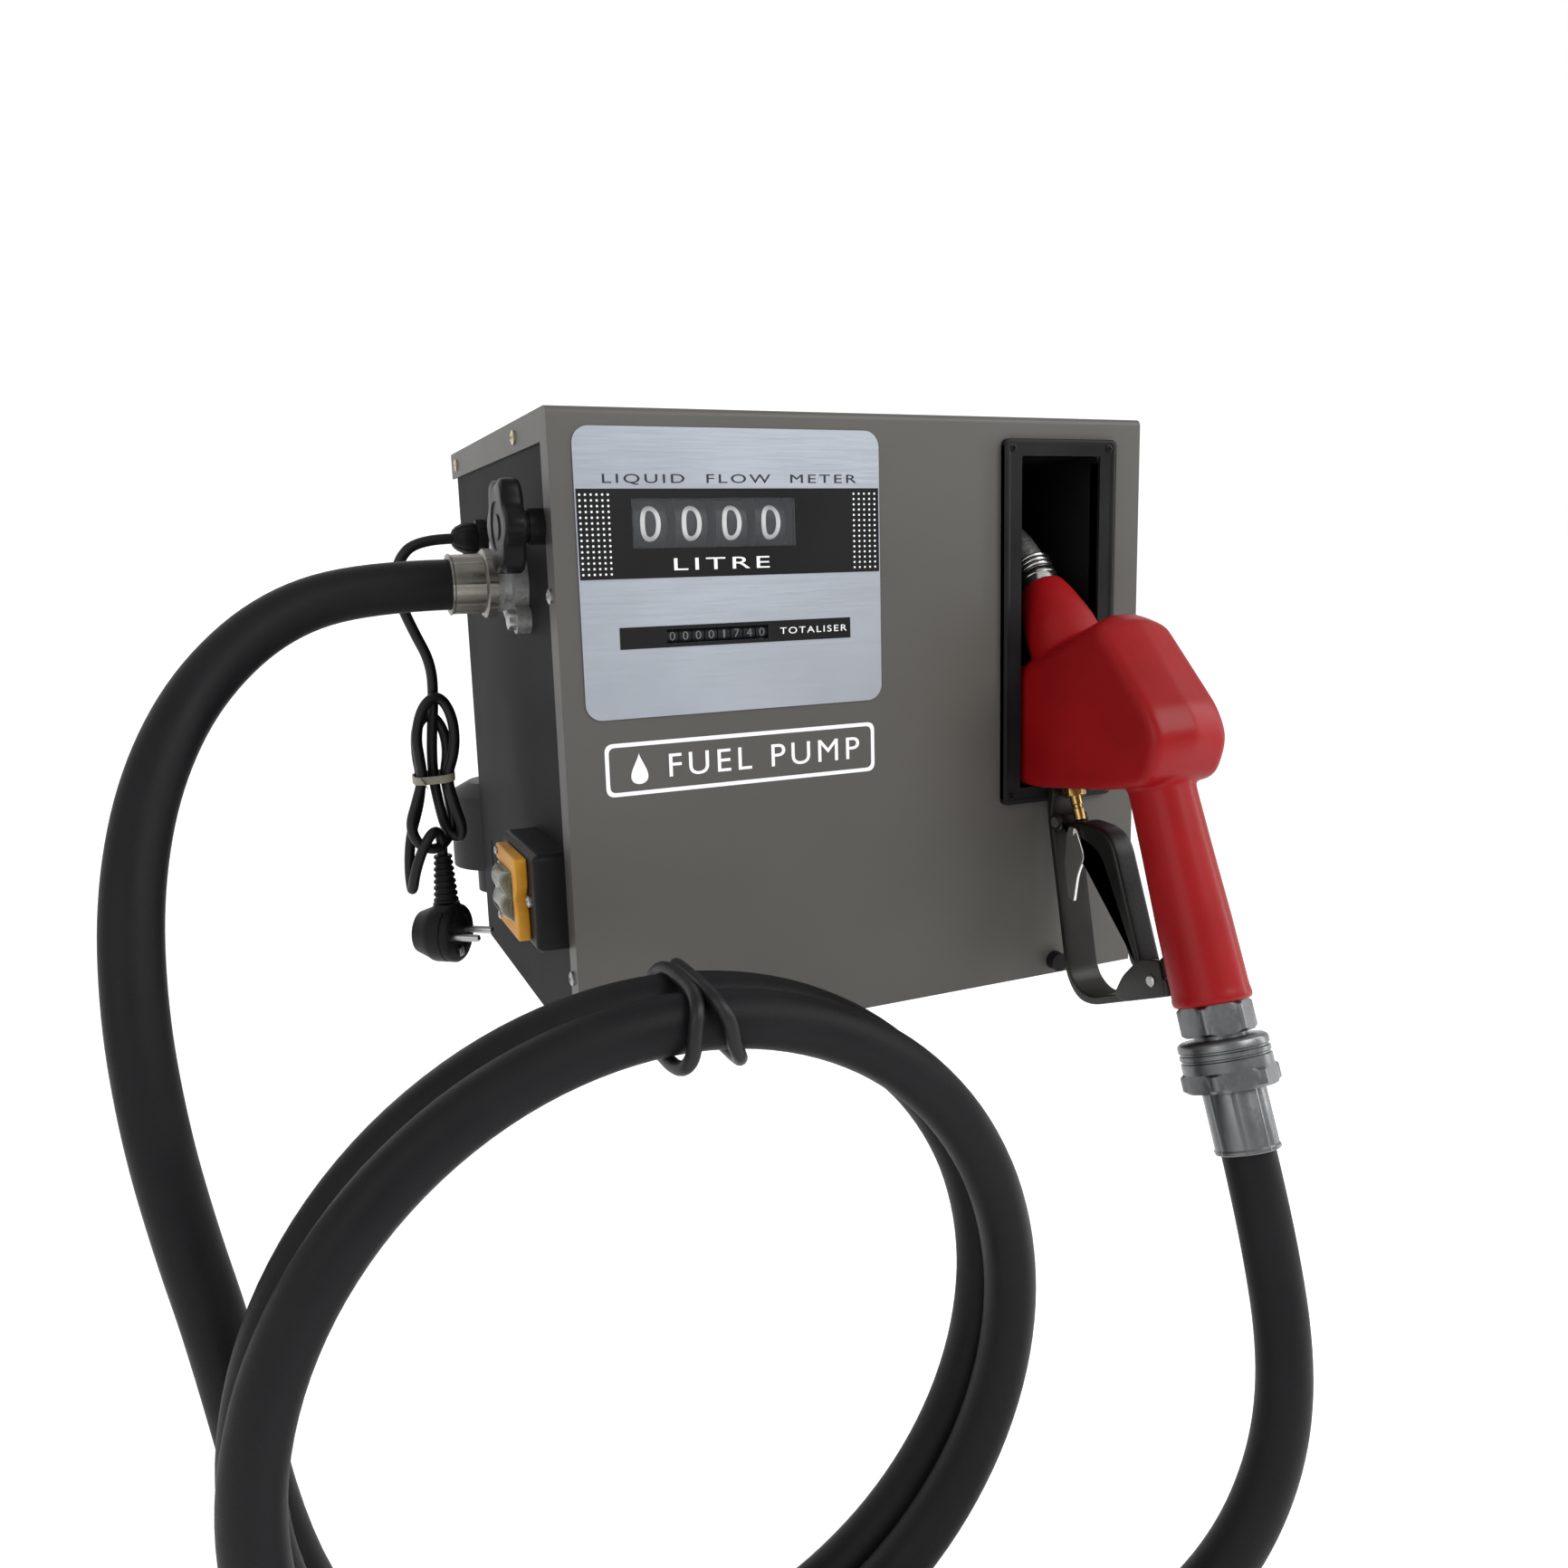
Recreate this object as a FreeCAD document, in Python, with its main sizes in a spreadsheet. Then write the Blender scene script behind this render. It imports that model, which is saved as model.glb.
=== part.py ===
"""A cabinet fuel dispenser: mechanical litre counter, self-priming pump, hose and lever nozzle.

The origin is the centre of the four base bolts, in the cabinet's bottom face. +Z is up, -Y is the
front with the counter on it, and +X is the side that the nozzle hangs on. Everything is in millimetres.
"""
import FreeCAD, Part
import math
import os
import re

import Sketcher

V = FreeCAD.Vector

# Driving dimensions. Every other size and place is worked out from these.
SIZES = {
    # cabinet
    "cabinet_width": 375, "cabinet_depth": 275, "cabinet_height": 350, "sheet_gauge": 1.5,
    "bend_radius": 4, "top_lip": 17, "front_lip": 15, "rear_overhang": 12,
    "base_bolt_across": 300, "base_bolt_along": 200, "base_bolt_hole": 4.5,
    "vent_length": 34, "vent_width": 3, "vent_low": 44, "vent_back": 33, "vent_pitch": 18,
    "screw_head": 4, "screw_head_high": 2.2, "screw_shank": 2, "screw_shank_long": 7,
    "top_screw_front": 75, "top_screw_back": 265, "lip_screw_in": 10, "lip_screw_high": 254,
    "lip_screw_low": 45, "top_screw_drop": 9,
    # meter plate and counter
    "plate_left": 12.5, "plate_top": 10, "plate_wide": 177, "plate_high": 152,
    "plate_gauge": 0.8, "plate_corner": 9, "plate_margin": 9, "film_gauge": 0.4,
    "band_drop": 31.6, "band_high": 46.4, "band_side": 0.8,
    "wheel_drop": 59.5, "wheel_depth": 22, "wheel_radius": 17, "wheel_wide": 18, "wheel_pitch": 23.3,
    "wheel_first": 54.5, "wheel_hub": 6, "axle_radius": 3, "running_gap": 0.05,
    "window_side": 3, "window_high": 26, "window_gauge": 1,
    "frame_plate": 2, "frame_gap": 2.5, "frame_high": 44, "frame_back": 47,
    "strip_left": 20.5, "strip_drop": 103.5, "strip_wide": 136.5, "strip_high": 11.5,
    "total_left": 26, "total_wide": 60, "total_high": 7.5, "total_radius": 6, "total_count": 8,
    "total_gap": 0.6, "total_axle": 1.5,
    # reset knob
    "knob_radius": 27, "knob_thick": 12, "knob_stand": 12, "knob_lobes": 6, "knob_lobe": 5,
    "knob_hub": 8.5, "boss_radius": 9.5, "boss_long": 8,
    # meter
    "port_depth": 90, "port_high": 261, "meter_x": -100, "meter_radius": 50, "meter_front": 50,
    "meter_long": 78, "chamber_radius": 36, "chamber_half": 13, "port_radius": 18, "bore_radius": 10,
    "disc_radius": 33, "disc_thick": 3, "disc_tilt": 14, "ball_radius": 9, "spindle_radius": 3,
    "meter_cover": 6, "meter_lip": 5,
    # outlet flange and ferrule
    "flange_thick": 8, "flange_radius": 23, "flange_ear": 30, "flange_ear_radius": 8,
    "flange_bolt": 3.2, "flange_bolt_head": 5.5, "flange_bolt_high": 4, "flange_neck": 16,
    "ferrule_out": 37.5, "ferrule_radius": 16.5, "ferrule_collar": 6,
    # pump, motor and pipes
    "shaft_depth": 180, "shaft_high": 85, "shaft_radius": 7, "pump_left": -40, "pump_long": 65,
    "pump_radius": 46, "pump_wall": 8, "cavity_radius": 31, "cavity_shift": 5, "rotor_radius": 24,
    "vane_count": 5, "vane_thick": 3, "vane_long": 9, "vane_proud": 1.4, "pump_cover": 8,
    "motor_long": 138, "motor_radius": 56, "motor_wall": 4, "core_radius": 34, "core_ends": 22,
    "fin_count": 10, "fin_high": 3, "fin_wide": 2.5, "cowl_long": 24, "fan_radius": 44, "fan_wide": 9,
    "foot_wide": 80, "foot_inset": 12, "foot_plate": 14,
    "box_left": 45, "box_long": 62, "box_deep": 54, "box_high": 30,
    "pipe_radius": 12, "pipe_bore": 9, "pipe_x": 0, "pump_port": 16, "pump_port_high": 12,
    # inlet strainer behind the cabinet
    "strainer_x": -163, "strainer_behind": 42, "strainer_radius": 38, "strainer_low": 45,
    "strainer_high": 52, "strainer_wall": 4, "lid_high": 8, "neck_x": -150,
    "inlet_bore": 15.2, "inlet_radius": 21, "inlet_long": 22, "mesh_radius": 24, "mesh_wall": 1.2,
    # cable gland
    "gland_depth": 187, "gland_high": 289, "gland_hex": 10.5, "gland_hex_long": 6,
    "gland_nut": 9.5, "gland_nut_long": 15, "cord_diameter": 6.8, "cord_bore": 3.7,
    # switch
    "switch_depth": 15, "switch_deep": 82, "switch_low": 60, "switch_high": 55, "switch_out": 19,
    "switch_round": 4, "bezel_in": 15, "bezel_low": 4, "bezel_deep": 52, "bezel_high": 47,
    "bezel_out": 7, "bezel_bar": 9, "bezel_screw": 2.4,
    "rocker_high": 27, "rocker_out": 5.5,
    "rocker_gap": 0.6, "rocker_pin": 1.5, "cover_gauge": 1, "cover_out": 10,
    # holster
    "holster_right": 21.1, "holster_wide": 81.6, "holster_low": 116, "holster_high": 221,
    "holster_border_side": 12.2, "holster_border_top": 10, "holster_out": 4, "holster_deep": 116,
    "holster_wall": 2, "holster_corner": 4, "bumper_radius": 6, "bumper_out": 7, "bumper_high": 9,
    # nozzle, drawn upright in its own frame: the grip's axis is its Z axis
    "nozzle_x": 127, "grip_out": 103.5, "grip_high": 124, "grip_lean": 22, "grip_long": 106,
    "grip_top_radius": 18.5, "grip_end_radius": 21, "cover_wall": 3, "head_half": 26,
    "head_top": 118, "head_front_top": -7, "head_front": -33, "heel_top": 48, "heel_low": 31,
    "heel_end": 15, "belly_rear": 19, "belly_low": 20, "chin_y": 81, "chin_z": 36,
    "toe_y": 120.6, "toe_z": 52.3, "nape_y": 104, "nape_z": 98, "crown_y": 96,
    "head_round": 6, "cone_y": 50, "cone_z": 105, "cone_lean": 16, "cone_radius": 22.5,
    "cone_neck": 13.5, "cone_shoulder": 22, "cone_long": 58, "collar_radius": 12.5,
    "collar_long": 9, "spout_radius": 10.5, "spout_wall": 1.5, "spout_straight": 24,
    "spout_bend": 42, "spout_turn": 34, "spout_tip": 26,
    "ring_wire": 1.1, "ring_count": 3, "ring_pitch": 3.2,
    "guard_y": 114, "guard_crown_y": 88, "guard_top": 42, "guard_knee_y": 96.5, "guard_knee_z": 21,
    "guard_low": -99, "guard_thick": 4.5, "guard_half": 11, "guard_corner": 20, "guard_base": 42,
    "guard_lug": 5, "pivot_y": 90, "pivot_z": 15, "pivot_radius": 2.2,
    "lever_y": 44, "lever_thick": 9, "lever_half": 8, "lever_low": -82, "lever_top": 2, "lever_seat": 12,
    "stem_y": 79, "stem_radius": 3.5, "stem_gap": 0.3, "stem_long": 38, "stem_boss": 4,
    "clip_y": 76, "clip_z": 6.5, "clip_pin": 1.6, "clip_eye": 4.5, "clip_thick": 2, "clip_long": 42,
    "clip_reach": 19,
    # nozzle tail and hose
    "nipple_hex": 18, "nipple_long": 16, "swivel_radius": 24, "swivel_long": 27, "swivel_gap": 2,
    "tail_radius": 16.5, "tail_long": 31, "tail_bore": 9, "hose_diameter": 28.5,
    "coil_x": -176, "coil_z": -134, "coil_radius": 194, "coil_turns": 3, "coil_back_y": -205.5,
    "hose_straight": 48, "tie_x": -160, "tie_wide": 8, "tie_thick": 3, "soft_gap": 0.3,
    # plug and hank of the mains lead
    "hank_y": 49, "plug_x": -228, "plug_high": 30, "plug_radius": 19.5,
    "plug_thick": 17, "plug_back": 12, "plug_turn": -37, "pin_radius": 2.4, "pin_long": 19,
    "pin_pitch": 19, "relief_long": 30, "relief_foot": 4, "relief_top": 5, "relief_end": 7.5,
    "cord_tie_high": 5,
    "cord_tie_thick": 1.2,
}

doc = FreeCAD.newDocument("fuel_dispenser")
sheet = doc.addObject("Spreadsheet::Sheet", "sizes")
for row, (word, value) in enumerate(SIZES.items(), 1):
    sheet.set(f"A{row}", str(value))
    sheet.setAlias(f"A{row}", word)
doc.recompute()

NODES = {}

LEFT = "(-cabinet_width/2)"
RIGHT = "(cabinet_width/2)"
FRONT = "(-cabinet_depth/2)"
REAR = "(cabinet_depth/2)"
SIDE = "(-cabinet_width/2 + sheet_gauge)"


def size(word):
    """The number that the sheet holds for a word."""
    return float(sheet.get(word))


def tie(text):
    """An expression with each size's word pointed at its cell in the sheet."""
    return re.sub(r"[a-z_]+", lambda m: f"sizes.{m[0]}" if m[0] in SIZES else m[0], str(text))


def bind(item, **ties):
    """Bind properties to expressions; a double underscore stands for a dot."""
    for name, text in ties.items():
        item.setExpression(name.replace("__", "."), tie(text))
    return item


def at(item, x, y, z):
    """Bind an object's base point."""
    return bind(item, Placement__Base__x=x, Placement__Base__y=y, Placement__Base__z=z)


def keep(label, item):
    """Name a finished sub-part; the label is its file's name."""
    item.Label = label
    NODES[label] = item
    return item


def box(name, x, y, z):
    """A box between two expressions along each axis."""
    item = doc.addObject("Part::Box", name)
    bind(item, Length=f"({x[1]})-({x[0]})", Width=f"({y[1]})-({y[0]})", Height=f"({z[1]})-({z[0]})")
    return at(item, x[0], y[0], z[0])


TURNS = {"x": ((0, 1, 0), 90), "y": ((1, 0, 0), -90), "z": ((0, 0, 1), 0)}


def turned_to(item, axis):
    """Point an upright object along X or Y."""
    direction, angle = TURNS[axis]
    item.Placement = FreeCAD.Placement(V(0, 0, 0), FreeCAD.Rotation(V(*direction), angle))
    return item


def rod(name, axis, base, radius, length):
    """A cylinder that starts at base and runs along +axis."""
    item = turned_to(doc.addObject("Part::Cylinder", name), axis)
    bind(item, Radius=radius, Height=length)
    return at(item, *base)


def hexagon(name, axis, base, radius, length):
    """A six-sided bar, its radius measured to the corners."""
    item = turned_to(doc.addObject("Part::Prism", name), axis)
    item.Polygon = 6
    bind(item, Circumradius=radius, Height=length)
    return at(item, *base)


def cone(name, axis, base, first, last, length):
    """A cone from its first radius to its last."""
    item = turned_to(doc.addObject("Part::Cone", name), axis)
    bind(item, Radius1=first, Radius2=last, Height=length)
    return at(item, *base)


def fuse(name, *items):
    item = doc.addObject("Part::MultiFuse", name)
    item.Shapes = list(items)
    item.Refine = True
    return item


def cut(name, base, *tools):
    """Base with the tools taken away."""
    item = doc.addObject("Part::Cut", name)
    item.Base = base
    item.Tool = tools[0] if len(tools) == 1 else fuse(f"{name}_tools", *tools)
    item.Refine = True
    return item


def group(name, *items):
    """Separate solids that share one node."""
    item = doc.addObject("Part::Compound", name)
    item.Links = list(items)
    return item


def sketch_on(body, name, plane, points):
    """A closed outline of straight lines, each corner held by two bound distances."""
    sketch = body.newObject("Sketcher::SketchObject", name)
    support = [f for f in body.Origin.OriginFeatures if f.Role == f"{plane}_Plane"][0]
    sketch.AttachmentSupport = [(support, "")]
    sketch.MapMode = "FlatFace"
    count = len(points)
    rough = [V(math.cos(6.28 * k / count), math.sin(6.28 * k / count), 0) * 50 for k in range(count)]
    for k in range(count):
        sketch.addGeometry(Part.LineSegment(rough[k], rough[(k + 1) % count]))
    for k in range(count):
        sketch.addConstraint(Sketcher.Constraint("Coincident", k, 2, (k + 1) % count, 1))
    for k, pair in enumerate(points):
        for kind, text in zip(("DistanceX", "DistanceY"), pair):
            index = sketch.addConstraint(Sketcher.Constraint(kind, -1, 1, k, 1, 1.0))
            sketch.setExpression(f"Constraints[{index}]", tie(text))
    return sketch


def padded_outline(name, plane, points, low, high, rounds=()):
    """A body padded from an outline, between two expressions along the plane's normal.

    rounds holds (radius, test) pairs: each edge that passes its test is filleted.
    """
    body = doc.addObject("PartDesign::Body", name)
    sketch = sketch_on(body, f"{name}_outline", plane, points)
    start = f"-({high})" if plane == "XZ" else low
    bind(sketch, AttachmentOffset__Base__z=start)
    pad = body.newObject("PartDesign::Pad", f"{name}_pad")
    pad.Profile = sketch
    bind(pad, Length=f"({high})-({low})")
    last = pad
    for number, (radius, test) in enumerate(rounds):
        doc.recompute()
        chosen = [f"Edge{k}" for k, edge in enumerate(last.Shape.Edges, 1) if test(edge)]
        fillet = body.newObject("PartDesign::Fillet", f"{name}_round_{number}")
        fillet.Base = (last, chosen)
        bind(fillet, Radius=radius)
        last.Visibility = False
        last = fillet
    body.Tip = last
    return body


def revolved_outline(name, points):
    """A body turned round its own Z axis from an outline of radius and height pairs."""
    body = doc.addObject("PartDesign::Body", name)
    sketch = sketch_on(body, f"{name}_outline", "XZ", points)
    turn = body.newObject("PartDesign::Revolution", f"{name}_turn")
    turn.Profile = sketch
    turn.ReferenceAxis = (sketch, ["V_Axis"])
    turn.Angle = 360
    body.Tip = turn
    return body


def runs_along(axis):
    """A test for straight edges along an axis."""
    direction = {"x": V(1, 0, 0), "y": V(0, 1, 0), "z": V(0, 0, 1)}[axis]

    def test(edge):
        if edge.Curve.TypeId != "Part::GeomLine":
            return False
        return abs(abs(edge.tangentAt(edge.FirstParameter).dot(direction)) - 1) < 1e-6

    return test


def rectangle(a, b):
    """The four corners between two pairs of expressions."""
    return [(a[0], b[0]), (a[1], b[0]), (a[1], b[1]), (a[0], b[1])]


def rounded_path(points):
    """Straight runs joined by tangent arcs, each as large as its two runs allow."""
    edges, start, radii = [], points[0], []
    for before, corner, after in zip(points, points[1:], points[2:]):
        back, ahead = before - corner, after - corner
        run = min(back.Length, ahead.Length)
        back, ahead = V(back).normalize(), V(ahead).normalize()
        turn = math.pi - back.getAngle(ahead)
        reach = 0.45 * run
        radii.append(reach / math.tan(turn / 2))
        middle = V(back + ahead).normalize()
        centre = corner + middle * (radii[-1] / math.cos(turn / 2))
        first, last = corner + back * reach, corner + ahead * reach
        edges.append(Part.makeLine(start, first))
        edges.append(Part.Arc(first, centre - middle * radii[-1], last).toShape())
        start = last
    edges.append(Part.makeLine(start, points[-1]))
    return Part.Wire(edges), radii


def tube(label, points, radius, bore=0):
    """A round tube along a rounded path, with its volume checked against section times length."""
    path, radii = rounded_path(points)
    heading = points[1] - points[0]
    solids = []
    for r in (radius, bore) if bore else (radius,):
        ring = Part.Wire(Part.Circle(points[0], heading, r).toShape())
        solids.append(path.makePipeShell([ring], True, False))
    shape = solids[0].cut(solids[1]) if bore else solids[0]
    expected = math.pi * (radius ** 2 - bore ** 2) * path.Length
    smallest = f", smallest bend {min(radii):.1f}" if radii else ""
    print(f"{label}: length {path.Length:.1f}{smallest}, volume {shape.Volume / expected:.4f} of expected")
    return shape


def shaped(label, shape):
    """A sub-part whose shape comes straight from the geometry functions."""
    item = doc.addObject("Part::Feature", label)
    item.Shape = shape
    return keep(label, item)


# ---------------------------------------------------------------- cabinet
def front_cover():
    """The folded sheet that makes the front, the top and the narrow lips round the sides."""
    lip_outline = [
        (FRONT, "0"), (FRONT, "cabinet_height"), (f"{REAR}+rear_overhang", "cabinet_height"),
        (f"{REAR}+rear_overhang", "cabinet_height-top_lip"), (f"{FRONT}+front_lip", "cabinet_height-top_lip"),
        (f"{FRONT}+front_lip", "0"),
    ]

    def front_top_edge(edge):
        middle = edge.CenterOfMass
        corner = V(0, -size("cabinet_depth") / 2, size("cabinet_height"))
        return (middle - corner).Length < 0.1

    folded = padded_outline("cover_folded", "YZ", lip_outline, LEFT, RIGHT, [("bend_radius", front_top_edge)])
    hollow = box("cover_hollow", (SIDE, f"-{SIDE}"), (f"{FRONT}+sheet_gauge", f"{REAR}+rear_overhang+1"),
                 ("-1", "cabinet_height-sheet_gauge"))
    return keep("front_cover", cut("front_cover", folded, hollow, plate_space("cover_window", "plate_margin"),
                                   holster_space("cover_holster", "holster_wall")))


def plate_space(name, margin):
    """The cut-out behind the meter plate."""
    left = f"{LEFT}+plate_left+{margin}"
    high = f"cabinet_height-plate_top-{margin}"
    return box(name, (left, f"{left}+plate_wide-2*{margin}"), (f"{FRONT}-1", f"{FRONT}+sheet_gauge+1"),
               (f"{high}-plate_high+2*{margin}", high))


HOLSTER_X = (f"{RIGHT}-holster_right-holster_wide", f"{RIGHT}-holster_right")
HOLSTER_Z = ("holster_low", "holster_low+holster_high")
POCKET_X = (f"{HOLSTER_X[0]}+holster_border_side", f"{HOLSTER_X[1]}-holster_border_side")
POCKET_Z = (f"{HOLSTER_Z[0]}+holster_border_top", f"{HOLSTER_Z[1]}-holster_border_top")


def holster_space(name, wall):
    """The cut-out that the holster's cup passes through, its walls included."""
    return box(name, (f"{POCKET_X[0]}-{wall}", f"{POCKET_X[1]}+{wall}"),
               (f"{FRONT}-1", f"{FRONT}+sheet_gauge+1"),
               (f"{POCKET_Z[0]}-{wall}", f"{POCKET_Z[1]}+{wall}"))


def chassis():
    """The dark folded sheet that makes both sides and the bottom."""
    inner = "(cabinet_width/2-2*sheet_gauge)"
    outline = [
        (SIDE, "0"), (f"-{SIDE}", "0"), (f"-{SIDE}", "cabinet_height-sheet_gauge"),
        (inner, "cabinet_height-sheet_gauge"), (inner, "sheet_gauge"), (f"-{inner}", "sheet_gauge"),
        (f"-{inner}", "cabinet_height-sheet_gauge"), (SIDE, "cabinet_height-sheet_gauge"),
    ]
    folded = padded_outline("chassis_folded", "XZ", outline, f"{FRONT}+sheet_gauge", REAR)
    holes = [rod(f"base_hole_{a}_{b}", "z", (f"{a}*base_bolt_across/2", f"{b}*base_bolt_along/2", "-1"),
                 "base_bolt_hole", "sheet_gauge+2") for a in (-1, 1) for b in (-1, 1)]
    through = (f"{LEFT}-1", "4*sheet_gauge+2")
    holes += [
        rod("port_hole", "x", (through[0], f"{FRONT}+port_depth", "port_high"), "port_radius", through[1]),
        rod("gland_hole", "x", (through[0], f"{FRONT}+gland_depth", "gland_high"), "cord_bore+3", through[1]),
        rod("knob_hole", "x", (through[0], f"{FRONT}+wheel_depth", "cabinet_height-wheel_drop"),
            "boss_radius", through[1]),
        box("switch_hole", (through[0], f"{through[0]}+{through[1]}"),
            (f"{FRONT}+switch_depth+bezel_in+bezel_bar",
             f"{FRONT}+switch_depth+bezel_in+bezel_deep-bezel_bar"),
            ("switch_low+bezel_low+bezel_bar", "switch_low+bezel_low+bezel_high-bezel_bar")),
    ]
    for number in range(3):
        back = f"{REAR}-vent_back-{number}*vent_pitch"
        holes.append(box(f"vent_{number}", (through[0], f"{through[0]}+{through[1]}"),
                         (f"{back}-vent_width", back), ("vent_low", "vent_low+vent_length")))
    return keep("chassis", cut("chassis", folded, *holes))


def back_panel():
    """The flat sheet that closes the back, with a hole for the strainer's neck."""
    inner = "(cabinet_width/2-2*sheet_gauge)"
    plate = box("back_sheet", (f"-{inner}", inner), (f"{REAR}-sheet_gauge", REAR),
                ("sheet_gauge", "cabinet_height-sheet_gauge"))
    hole = rod("neck_hole", "y", ("neck_x", f"{REAR}-sheet_gauge-1", "shaft_high"), "pipe_radius+2",
               "sheet_gauge+2")
    return keep("back_panel", cut("back_panel", plate, hole))


def side_screws():
    """The screws that hold the cover's lips to the sides."""
    places = [(f"{FRONT}+lip_screw_in", "lip_screw_high"), (f"{FRONT}+lip_screw_in", "lip_screw_low"),
              (f"{FRONT}+top_screw_front", "cabinet_height-top_screw_drop"),
              (f"{FRONT}+top_screw_back", "cabinet_height-top_screw_drop")]
    screws, holes = [], []
    for side, (edge, out) in enumerate(((LEFT, -1), (RIGHT, 1))):
        for number, (y, z) in enumerate(places):
            name = f"side_screw_{side}_{number}"
            head_base = f"{edge}-screw_head_high" if out < 0 else edge
            shank_base = edge if out < 0 else f"{edge}-screw_shank_long"
            head = rod(f"{name}_head", "x", (head_base, y, z), "screw_head", "screw_head_high")
            shank = rod(f"{name}_shank", "x", (shank_base, y, z), "screw_shank", "screw_shank_long")
            screws.append(fuse(name, head, shank))
            holes.append(rod(f"{name}_hole", "x", (f"{shank_base}-1", y, z), "screw_shank",
                             "screw_shank_long+2"))
    return screws, holes


def bore_out(label, holes):
    """Cut more holes in a kept sub-part, which keeps its name."""
    old = NODES[label]
    old.Label = f"{label}_blank"
    return keep(label, cut(f"{label}_bored", old, *holes))


def copy_of(item):
    """The same cutter once more, because a shape belongs to one cut only."""
    twin = doc.addObject(item.TypeId, f"{item.Name}_twin")
    twin.Placement = item.Placement
    for name, text in item.ExpressionEngine:
        twin.setExpression(name, text)
    return twin


def boss_clearance():
    """The notch in the cover's lip that leaves room for the knob's boss."""
    return rod("boss_notch", "x", (f"{LEFT}-1", WHEEL_Y, WHEEL_Z), "boss_radius+soft_gap", "sheet_gauge+1.5")


# ---------------------------------------------------------------- counter
PLATE_LEFT = f"{LEFT}+plate_left"
PLATE_TOP = "cabinet_height-plate_top"
WHEEL_Z = "(cabinet_height-wheel_drop)"
WHEEL_Y = f"({FRONT}+wheel_depth)"
WHEELS_LEFT = f"({LEFT}+wheel_first-wheel_wide/2)"
WHEELS_RIGHT = f"({LEFT}+wheel_first+3*wheel_pitch+wheel_wide/2)"
WINDOW_X = (f"{WHEELS_LEFT}-window_side", f"{WHEELS_RIGHT}+window_side")
WINDOW_Z = (f"{WHEEL_Z}-window_high/2", f"{WHEEL_Z}+window_high/2")
TOTAL_X = (f"{PLATE_LEFT}+strip_left+total_left", f"{PLATE_LEFT}+strip_left+total_left+total_wide")
TOTAL_Z = (f"({PLATE_TOP}-strip_drop-strip_high/2)-total_high/2",
           f"({PLATE_TOP}-strip_drop-strip_high/2)+total_high/2")


def meter_plate():
    """The brushed plate round the counter, with its two windows."""
    outline = rectangle((PLATE_LEFT, f"{PLATE_LEFT}+plate_wide"), (f"{PLATE_TOP}-plate_high", PLATE_TOP))
    plate = padded_outline("plate_blank", "XZ", outline, f"{FRONT}-plate_gauge", FRONT,
                           [("plate_corner", runs_along("y"))])
    depth = (f"{FRONT}-plate_gauge-1", f"{FRONT}+1")
    keep("meter_plate", cut("meter_plate", plate, box("plate_window", WINDOW_X, depth, WINDOW_Z),
                            box("plate_total", TOTAL_X, depth, TOTAL_Z)))
    film = (f"{FRONT}-plate_gauge-film_gauge", f"{FRONT}-plate_gauge")
    deep = (f"{FRONT}-plate_gauge-film_gauge-1", f"{FRONT}-plate_gauge+1")
    band = box("band_blank", (f"{PLATE_LEFT}+band_side", f"{PLATE_LEFT}+plate_wide-band_side"), film,
               (f"{PLATE_TOP}-band_drop-band_high", f"{PLATE_TOP}-band_drop"))
    band = cut("counter_band", band, box("band_window", WINDOW_X, deep, WINDOW_Z))
    strip = box("strip_blank", (f"{PLATE_LEFT}+strip_left", f"{PLATE_LEFT}+strip_left+strip_wide"), film,
                (f"{PLATE_TOP}-strip_drop-strip_high", f"{PLATE_TOP}-strip_drop"))
    strip = cut("totaliser_strip", strip, box("strip_window", TOTAL_X, deep, TOTAL_Z))
    keep("printed_bands", group("printed_bands", band, strip))
    keep("counter_window", box("counter_window", WINDOW_X, (f"{FRONT}-window_gauge", FRONT), WINDOW_Z))


def counter():
    """Four number wheels on one axle, in a frame that stands on the meter."""
    front = f"{FRONT}+sheet_gauge+1"
    back = f"{FRONT}+frame_back"
    ends = (f"{WHEELS_LEFT}-frame_gap-frame_plate", f"{WHEELS_RIGHT}+frame_gap+frame_plate")
    high = (f"{WHEEL_Z}-frame_high/2", f"{WHEEL_Z}+frame_high/2")
    block = box("frame_block", ends, (front, f"{FRONT}+meter_front"), high)
    room = box("frame_room", (f"{WHEELS_LEFT}-frame_gap", f"{WHEELS_RIGHT}+frame_gap"), (f"{front}-1", back),
               (f"{high[0]}-1", f"{high[1]}+1"))
    bore = rod("frame_bore", "x", (f"{ends[0]}-1", WHEEL_Y, WHEEL_Z), "axle_radius",
               f"({ends[1]})-({ends[0]})+2")
    spindle = rod("frame_spindle", "y", ("meter_x", f"{back}-1", "port_high"), "spindle_radius+1", "10")
    bracket = cut("counter_bracket", block, room, bore, spindle)
    axle = rod("counter_axle", "x", (ends[0], WHEEL_Y, WHEEL_Z), "axle_radius", f"({ends[1]})-({ends[0]})")
    for number in range(4):
        left = f"{WHEELS_LEFT}+{number}*wheel_pitch"
        name = f"number_wheel_{number + 1}"
        wheel = rod(f"{name}_rim", "x", (left, WHEEL_Y, WHEEL_Z), "wheel_radius", "wheel_wide")
        hub = rod(f"{name}_hub", "x", (f"{left}+wheel_wide", WHEEL_Y, WHEEL_Z), "wheel_hub",
                  "wheel_pitch-wheel_wide-0.3")
        hole = rod(f"{name}_bore", "x", (f"{left}-1", WHEEL_Y, WHEEL_Z), "axle_radius+running_gap",
                   "wheel_pitch+2")
        solid = fuse(f"{name}_solid", wheel, hub) if number < 3 else wheel
        keep(name, cut(name, solid, hole))
    return bracket, axle


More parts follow.
